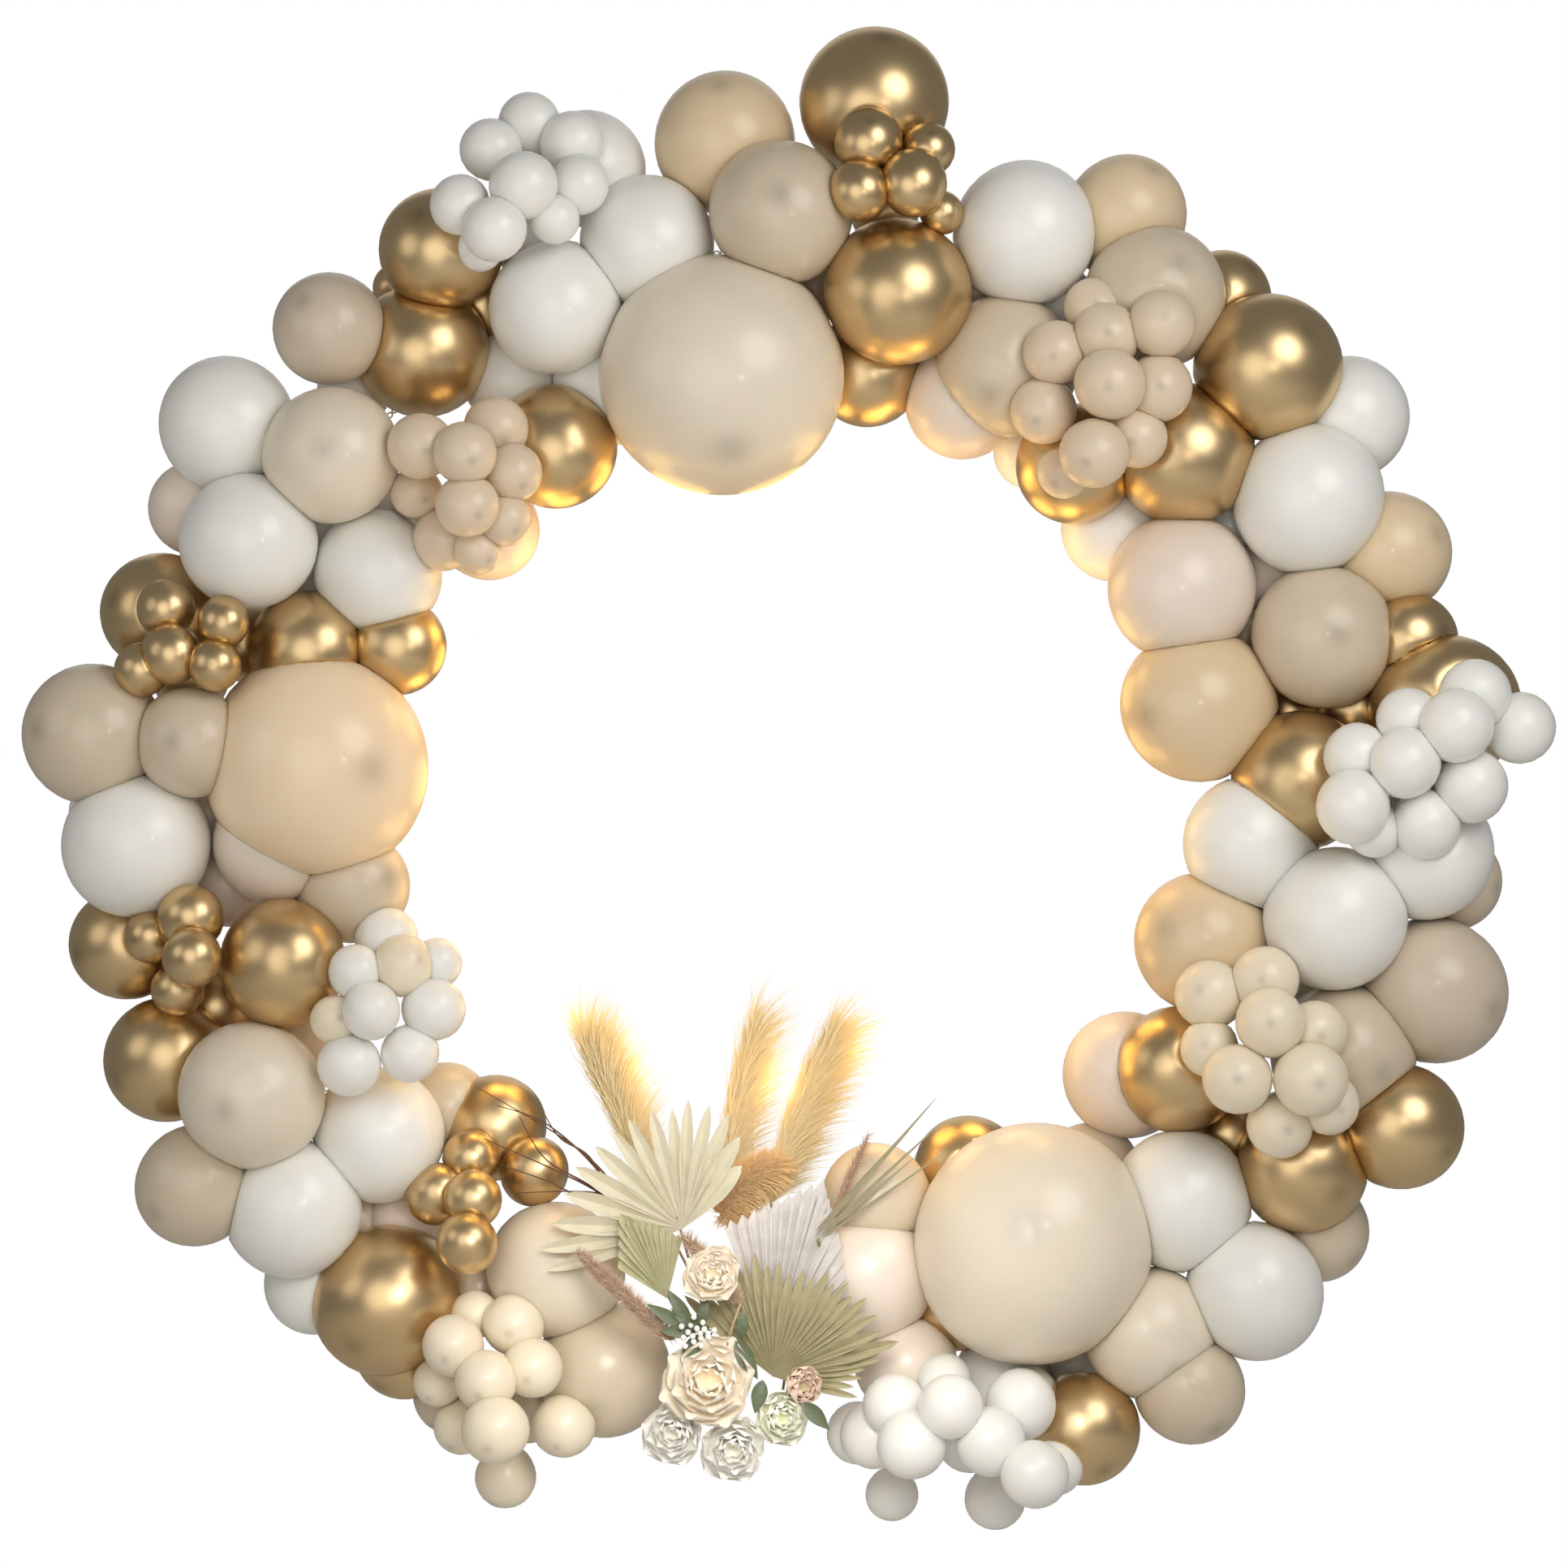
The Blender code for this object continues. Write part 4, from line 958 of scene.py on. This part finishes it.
def petal(length, width):
    """(points, faces, along) of one cupped petal, base at the origin, tip up, inside facing +Y."""
    across, up, thickness = 8, 9, 0.0006
    points, along = [], []
    for face in (1, -1):
        for row in range(up + 1):
            v = row / up
            half = width * (0.28 + 0.72 * math.sin(math.pi * min(v * 0.62, 0.5)))
            half *= math.sqrt(max(0.0, 1 - max(0.0, (v - 0.60) / 0.41) ** 2)) * 0.96 + 0.04
            for column in range(across + 1):
                u = 2 * column / across - 1
                bulge = -0.30 * length * math.sin(math.pi * v * 0.75)
                cup = 0.32 * width * u * u * (0.4 + v * 0.6)
                curl = -0.30 * length * max(0.0, v - 0.72) ** 1.2 * (1 + 0.4 * abs(u))
                points.append(Vector((u * half, bulge + cup + curl + face * thickness / 2,
                                      length * (v - 0.06 * u * u * v))))
                along.append(v)
    faces = []
    size, wide = (across + 1) * (up + 1), across + 1
    for row in range(up):
        for column in range(across):
            a = row * wide + column
            quad = (a, a + 1, a + 1 + wide, a + wide)
            faces += [quad, tuple(size + k for k in reversed(quad))]
    edge = list(range(wide)) + [row * wide + across for row in range(1, up + 1)]
    edge += [up * wide + column for column in range(across - 1, -1, -1)]
    edge += [row * wide for row in range(up - 1, 0, -1)]
    for here, after in zip(edge, edge[1:] + edge[:1]):
        faces.append((after, here, size + here, size + after))
    return points, faces, along


class GARLAND_OT_roses(bpy.types.Operator):
    """Adds the roses and the bud"""

    bl_idname = "garland.roses"
    bl_label = "Roses"

    def execute(self, context):
        green = surface("calyx green", (0.10, 0.16, 0.06), (0.22, 0.30, 0.13), scale=50.0,
                        roughness=(0.5, 0.7), bump=0.3)
        sockets = dict(by="along", share=0.25, scale=25.0, roughness=(0.5, 0.65), bump=0.25,
                       bump_scale=160.0)
        cream = surface("cream petals", (1.0, 0.80, 0.56), (1.0, 0.96, 0.86), **sockets)
        white = surface("white petals", (1.0, 0.96, 0.82), (1.0, 0.99, 0.96), **sockets)
        greenish = surface("greenish petals", (0.90, 0.92, 0.62), (1.0, 1.0, 0.93), **sockets)
        pink = surface("pink petals", (0.56, 0.58, 0.30), (0.96, 0.72, 0.62), **sockets)
        count = context.scene.garland.rose_petals
        tree = petal_tree()
        roses = (
            ("front_rose", 5, (874, 1700, ROSE_DEPTH + 0.005), 0.150, (0.0, 0.15), (), cream, 1.0),
            ("upper_rose", 4, (878, 1568, ROSE_DEPTH + 0.005), 0.100, (0.0, 0.3),
             ((868, 1652, FOXTAIL_DEPTH - 0.01),), cream, 0.8),
            ("left_white_rose", 1.5, (828, 1768, LOW_ROSE_DEPTH), 0.105, (-0.2, -0.2), (), white, 0.9),
            ("middle_white_rose", 3.5, (904, 1788, LOW_ROSE_DEPTH), 0.110, (0.0, -0.3), (), white, 0.9),
            ("right_white_rose", 9.5, (966, 1748, LOW_ROSE_DEPTH), 0.100, (0.3, 0.0), (), greenish, 0.7),
            ("rose_bud", 11, (990, 1708, BUD_DEPTH), 0.088, (0.3, 0.2), (), pink, 0.35),
        )
        for seed, (node, number, where, diameter, tilt, via, material, opening) in enumerate(roses):
            half = diameter / 2
            points, faces, along = petal(half * 1.3, half * 0.74)
            flower = baked(tree, points, faces, {
                "Petals": count if diameter > 0.07 else 12, "Closed": 0.05, "Open": 1.15 * opening,
                "Smallest": 0.45, "Seed": seed, "Material": material}, along)
            facing = Vector((tilt[0], -1.0, tilt[1])).normalized()
            back = place(*where) - facing * half * 0.62
            turn = Matrix.Translation(back) @ facing.to_track_quat("Z", "Y").to_matrix().to_4x4()
            build = Build()
            build.add_mesh(flower, turn)
            build.shape(tube(stem_points(number, via, back),
                             lambda s: STEM_DIAMETER / 2 * (1 + 2.2 * max(0.0, s - 0.9) * 10)), 1)
            for k in range(5):
                angle = 2 * math.pi * k / 5
                spread = turn.to_3x3() @ Vector((math.cos(angle), math.sin(angle), 0.35))
                build.shape(folded_blade(back, back + spread * half * 0.55, blade_width(0.10 * half, 0.7),
                                         0.2, 0.0008, facing, count=8), 1)
            is_node = node != "rose_bud"
            build.piece(node + "_petals" if is_node else node, [material, green], "rose_petals",
                        *([node] if is_node else []))
        return {"FINISHED"}


class GARLAND_OT_greenery(bpy.types.Operator):
    """Adds grass blades, dark strands, the thin foxtail, leaves and berries"""

    bl_idname = "garland.greenery"
    bl_label = "Grass, leaves and berries"

    def execute(self, context):
        grass = surface("olive grass", (0.20, 0.17, 0.09), (0.42, 0.38, 0.22), by="along", scale=30.0,
                        roughness=(0.6, 0.8), bump=0.3)
        dark = surface("dark strands", (0.07, 0.03, 0.02), (0.20, 0.09, 0.05), scale=40.0,
                       roughness=(0.7, 0.9))
        leaf = surface("dark leaf", (0.04, 0.06, 0.02), (0.12, 0.15, 0.06), by="along", scale=40.0,
                       roughness=(0.35, 0.55), bump=0.4, bump_scale=120.0)
        berry = surface("white berries", (0.80, 0.78, 0.70), (0.90, 0.89, 0.84), scale=90.0,
                        roughness=(0.35, 0.5), subsurface_weight=0.2, subsurface_scale=0.005)
        build = Build()
        for start, end, wide in (((1004, 1524), (1156, 1350), 4.0), ((1012, 1520), (1160, 1383), 3.4),
                                 ((1010, 1524), (1132, 1422), 3.4), ((1004, 1518), (1118, 1392), 3.0),
                                 ((1012, 1526), (1170, 1416), 2.8)):
            build.shape(folded_blade(place(*start, GRASS_BASE), place(*end, GRASS_TIP),
                                     blade_width(wide * 0.0009, 0.7, 0.0004),
                                     0.3, 0.001, FORWARD, 0.0, 16))
        build.shape(tube([tie_point(12), place(1018, 1600, 0.2), place(1008, 1526, GRASS_BASE)], 0.003))
        build.piece("grass_blades", [grass], "green_palm")
        build = Build()
        for path in (((765, 1495), (746, 1448), (690, 1400), (590, 1341)),
                     ((765, 1500), (743, 1473), (700, 1468), (637, 1470)),
                     ((765, 1497), (739, 1470), (680, 1440), (596, 1403)),
                     ((765, 1496), (735, 1440), (672, 1384), (612, 1362)),
                     ((765, 1498), (728, 1462), (672, 1428), (640, 1376)),
                     ((765, 1499), (722, 1480), (676, 1456), (618, 1436)),
                     ((765, 1497), (728, 1428), (690, 1402), (668, 1368))):
            build.shape(tube([place(*spot, STRAND_DEPTH) for spot in path],
                             lambda s: 0.0030 * (1 - 0.75 * s), 6, 20))
        build.shape(tube([tie_point(-0.6), place(820, 1590, 0.30), place(766, 1498, STRAND_DEPTH)],
                         0.0025))
        build.piece("dark_strands", [dark], "foxtail")
        foxtail = bpy.data.materials["foxtail"]
        points = [place(*spot, THIN_FOXTAIL_DEPTH)
                  for spot in ((1026, 1500), (1040, 1465), (1056, 1430), (1070, 1398))]
        thin = (0.4, 2.2, 0.014, 0.0006, 1.0)
        build = plume(points, 0.016, (0.4, 0.9, 1.0, 0.9, 0.2), thin, 9, foxtail)
        build.shape(tube([tie_point(13), place(1030, 1590, 0.18), points[0]], 0.002))
        build.piece("thin_foxtail", [foxtail], "foxtail")
        build = Build()
        sprig = [place(*spot) for spot in ((866, 1642, 0.36), (862, 1636, 0.45), (845, 1625, 0.47))]
        build.shape(tube([tie_point(2.5), place(872, 1650, 0.2), *sprig], 0.0014))
        for base, tip, wide in (((866, 1640), (826, 1612), 9), ((862, 1636), (872, 1596), 8),
                                ((858, 1640), (812, 1640), 9), ((990, 1728), (1022, 1762), 10),
                                ((906, 1652), (934, 1700), 11), ((912, 1650), (918, 1612), 8),
                                ((868, 1644), (838, 1676), 10), ((940, 1700), (930, 1742), 10),
                                ((852, 1632), (822, 1588), 8), ((846, 1636), (796, 1606), 8)):
            build.shape(folded_blade(place(*base, LEAF_BASE), place(*tip, LEAF_TIP),
                                     blade_width(wide * 0.0015, 0.8), 0.25, 0.001, FORWARD, 0.008, 12))
        for k in range(16):
            angle, reach = k * 2.4, 5.0 + 1.35 * k
            spot = place(858 + reach * math.cos(angle), 1643 + reach * 0.8 * math.sin(angle),
                         0.462 + 0.004 * math.sin(k * 1.7))
            rings = [(spot + Vector((0, 0, 0.0058 * math.cos(a))), Vector((0, 0, -1)), 0.0056 * math.sin(a))
                     for a in (0.25, 0.7, 1.2, 1.7, 2.2, 2.7, 2.95)]
            build.shape(skin(rings, 10), 1)
            build.shape(tube([spot, spot.lerp(sprig[1], 0.5) + Vector((0, 0.008, 0)), sprig[1]],
                             0.0006, 5, 6))
        build.piece("leaves_and_berries", [leaf, berry], "green_palm")
        return {"FINISHED"}


class GARLAND_OT_stage(bpy.types.Operator):
    """Adds the floor, the lights and the camera"""

    bl_idname = "garland.stage"
    bl_label = "Stage"

    def execute(self, context):
        scene = context.scene
        mesh = bpy.data.meshes.new("floor")
        corners = ((-1, -1), (1, -1), (1, 1), (-1, 1))
        mesh.from_pydata([(x * FLOOR_REACH, y * FLOOR_REACH, FLOOR_HEIGHT) for x, y in corners], [],
                         [(0, 1, 2, 3)])
        floor = bpy.data.objects.new("floor", mesh)
        scene.collection.objects.link(floor)
        mesh.materials.append(surface("pale floor", (0.78, 0.78, 0.77), (0.83, 0.83, 0.82), scale=1.5,
                                      roughness=(0.6, 0.75)))
        middle = place(*STRIP_CENTRE, 0.25)
        self.lamp(scene, "window", (3.0, -4.2, 1.8), middle, 3.6, 122.0, (1.0, 0.99, 0.97))
        self.lamp(scene, "front", (-1.5, -5.5, -0.6), middle, 4.5, 72.0, (1.0, 0.97, 0.92))
        self.lamp(scene, "bulb", (1.4, -4.6, -0.4), middle, 0.35, 10.0, (1.0, 0.97, 0.92))
        self.lamp(scene, "left", (-4.2, -2.2, 0.2), middle, 2.5, 15.0, (1.0, 0.95, 0.88))
        self.lamp(scene, "behind", (0.0, 3.5, 1.2), middle, 4.0, 20.0, (1.0, 0.98, 0.95))
        self.lamp(scene, "bouquet", place(1010, 1300, 2.2), place(900, 1660, 0.4), 0.8, 2.0,
                  (1.0, 0.98, 0.94), 48.0)
        self.glow(scene)
        self.world(scene)
        scene.view_settings.view_transform = "Standard"
        camera = bpy.data.objects.new("camera", bpy.data.cameras.new("camera"))
        camera.data.type = "ORTHO"
        camera.data.ortho_scale = VIEW_STEPS * STRIP_DIAMETER / 2 / STRIP_STEPS
        camera.location = place(VIEW_STEPS / 2, VIEW_STEPS / 2, VIEW_DEPTH)
        camera.rotation_euler = (math.pi / 2, 0.0, 0.0)
        scene.collection.objects.link(camera)
        scene.camera = camera
        return {"FINISHED"}

    def glow(self, scene):
        """Adds small warm lamps round the inside of the ring."""
        light = bpy.data.lights.new("glow", "POINT")
        light.energy, light.color, light.shadow_soft_size = scene.garland.glow, (1.0, 0.62, 0.17), 0.08
        for number in range(GLOW_LAMPS):
            turn = 2 * math.pi * number / GLOW_LAMPS
            lamp = bpy.data.objects.new("glow", light)
            lamp.location = place(*STRIP_CENTRE, GLOW_DEPTH) + Vector((
                math.cos(turn) * GLOW_RADIUS, 0.0, math.sin(turn) * GLOW_RADIUS))
            lamp.visible_camera = False
            scene.collection.objects.link(lamp)

    def lamp(self, scene, name, where, target, size, power, colour, spread=180.0):
        """Adds a round soft lamp that faces the target."""
        light = bpy.data.lights.new(name, "AREA")
        light.shape = "DISK"
        light.size, light.energy, light.color, light.spread = size, power, colour, math.radians(spread)
        lamp = bpy.data.objects.new(name, light)
        lamp.location = where
        lamp.rotation_euler = (target - Vector(where)).to_track_quat("-Z", "Y").to_euler()
        lamp.visible_camera = False
        scene.collection.objects.link(lamp)

    def world(self, scene):
        """A dim room for the light, white for the camera."""
        world = bpy.data.worlds.new("studio")
        scene.world = world
        world.use_nodes = True
        tree = world.node_tree
        room = tree.nodes["Background"]
        room.inputs["Color"].default_value = (0.97, 0.96, 0.94, 1.0)
        room.inputs["Strength"].default_value = ROOM_LIGHT
        white = add_node(tree, "ShaderNodeBackground", {"Color": (1.0, 1.0, 1.0, 1.0), "Strength": 1.0})
        seen = add_node(tree, "ShaderNodeLightPath").outputs["Is Camera Ray"]
        mix = add_node(tree, "ShaderNodeMixShader", {0: seen, 1: room.outputs[0], 2: white.outputs[0]})
        tree.links.new(mix.outputs[0], tree.nodes["World Output"].inputs["Surface"])


class GARLAND_PT_panel(bpy.types.Panel):
    """The garland's buttons"""

    bl_label = "Balloon garland"
    bl_idname = "GARLAND_PT_panel"
    bl_space_type = "VIEW_3D"
    bl_region_type = "UI"
    bl_category = "Garland"

    def draw(self, context):
        settings = context.scene.garland
        for name in ("link_length", "bristle_density", "rose_petals", "glow"):
            self.layout.prop(settings, name)
        for operator in OPERATORS:
            self.layout.operator(operator.bl_idname)


OPERATORS = (
    GARLAND_OT_strip, GARLAND_OT_balloons, GARLAND_OT_palms, GARLAND_OT_plumes, GARLAND_OT_roses,
    GARLAND_OT_greenery, GARLAND_OT_stage,
)


def register():
    for kind in (GARLAND_PG_settings, *OPERATORS, GARLAND_PT_panel):
        bpy.utils.register_class(kind)
    bpy.types.Scene.garland = bpy.props.PointerProperty(type=GARLAND_PG_settings)


def unregister():
    del bpy.types.Scene.garland
    for kind in reversed((GARLAND_PG_settings, *OPERATORS, GARLAND_PT_panel)):
        bpy.utils.unregister_class(kind)


def main():
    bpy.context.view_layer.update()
    register()
    for operator in OPERATORS:
        group, name = operator.bl_idname.split(".")
        getattr(getattr(bpy.ops, group), name)()


if __name__ == "__main__":
    main()
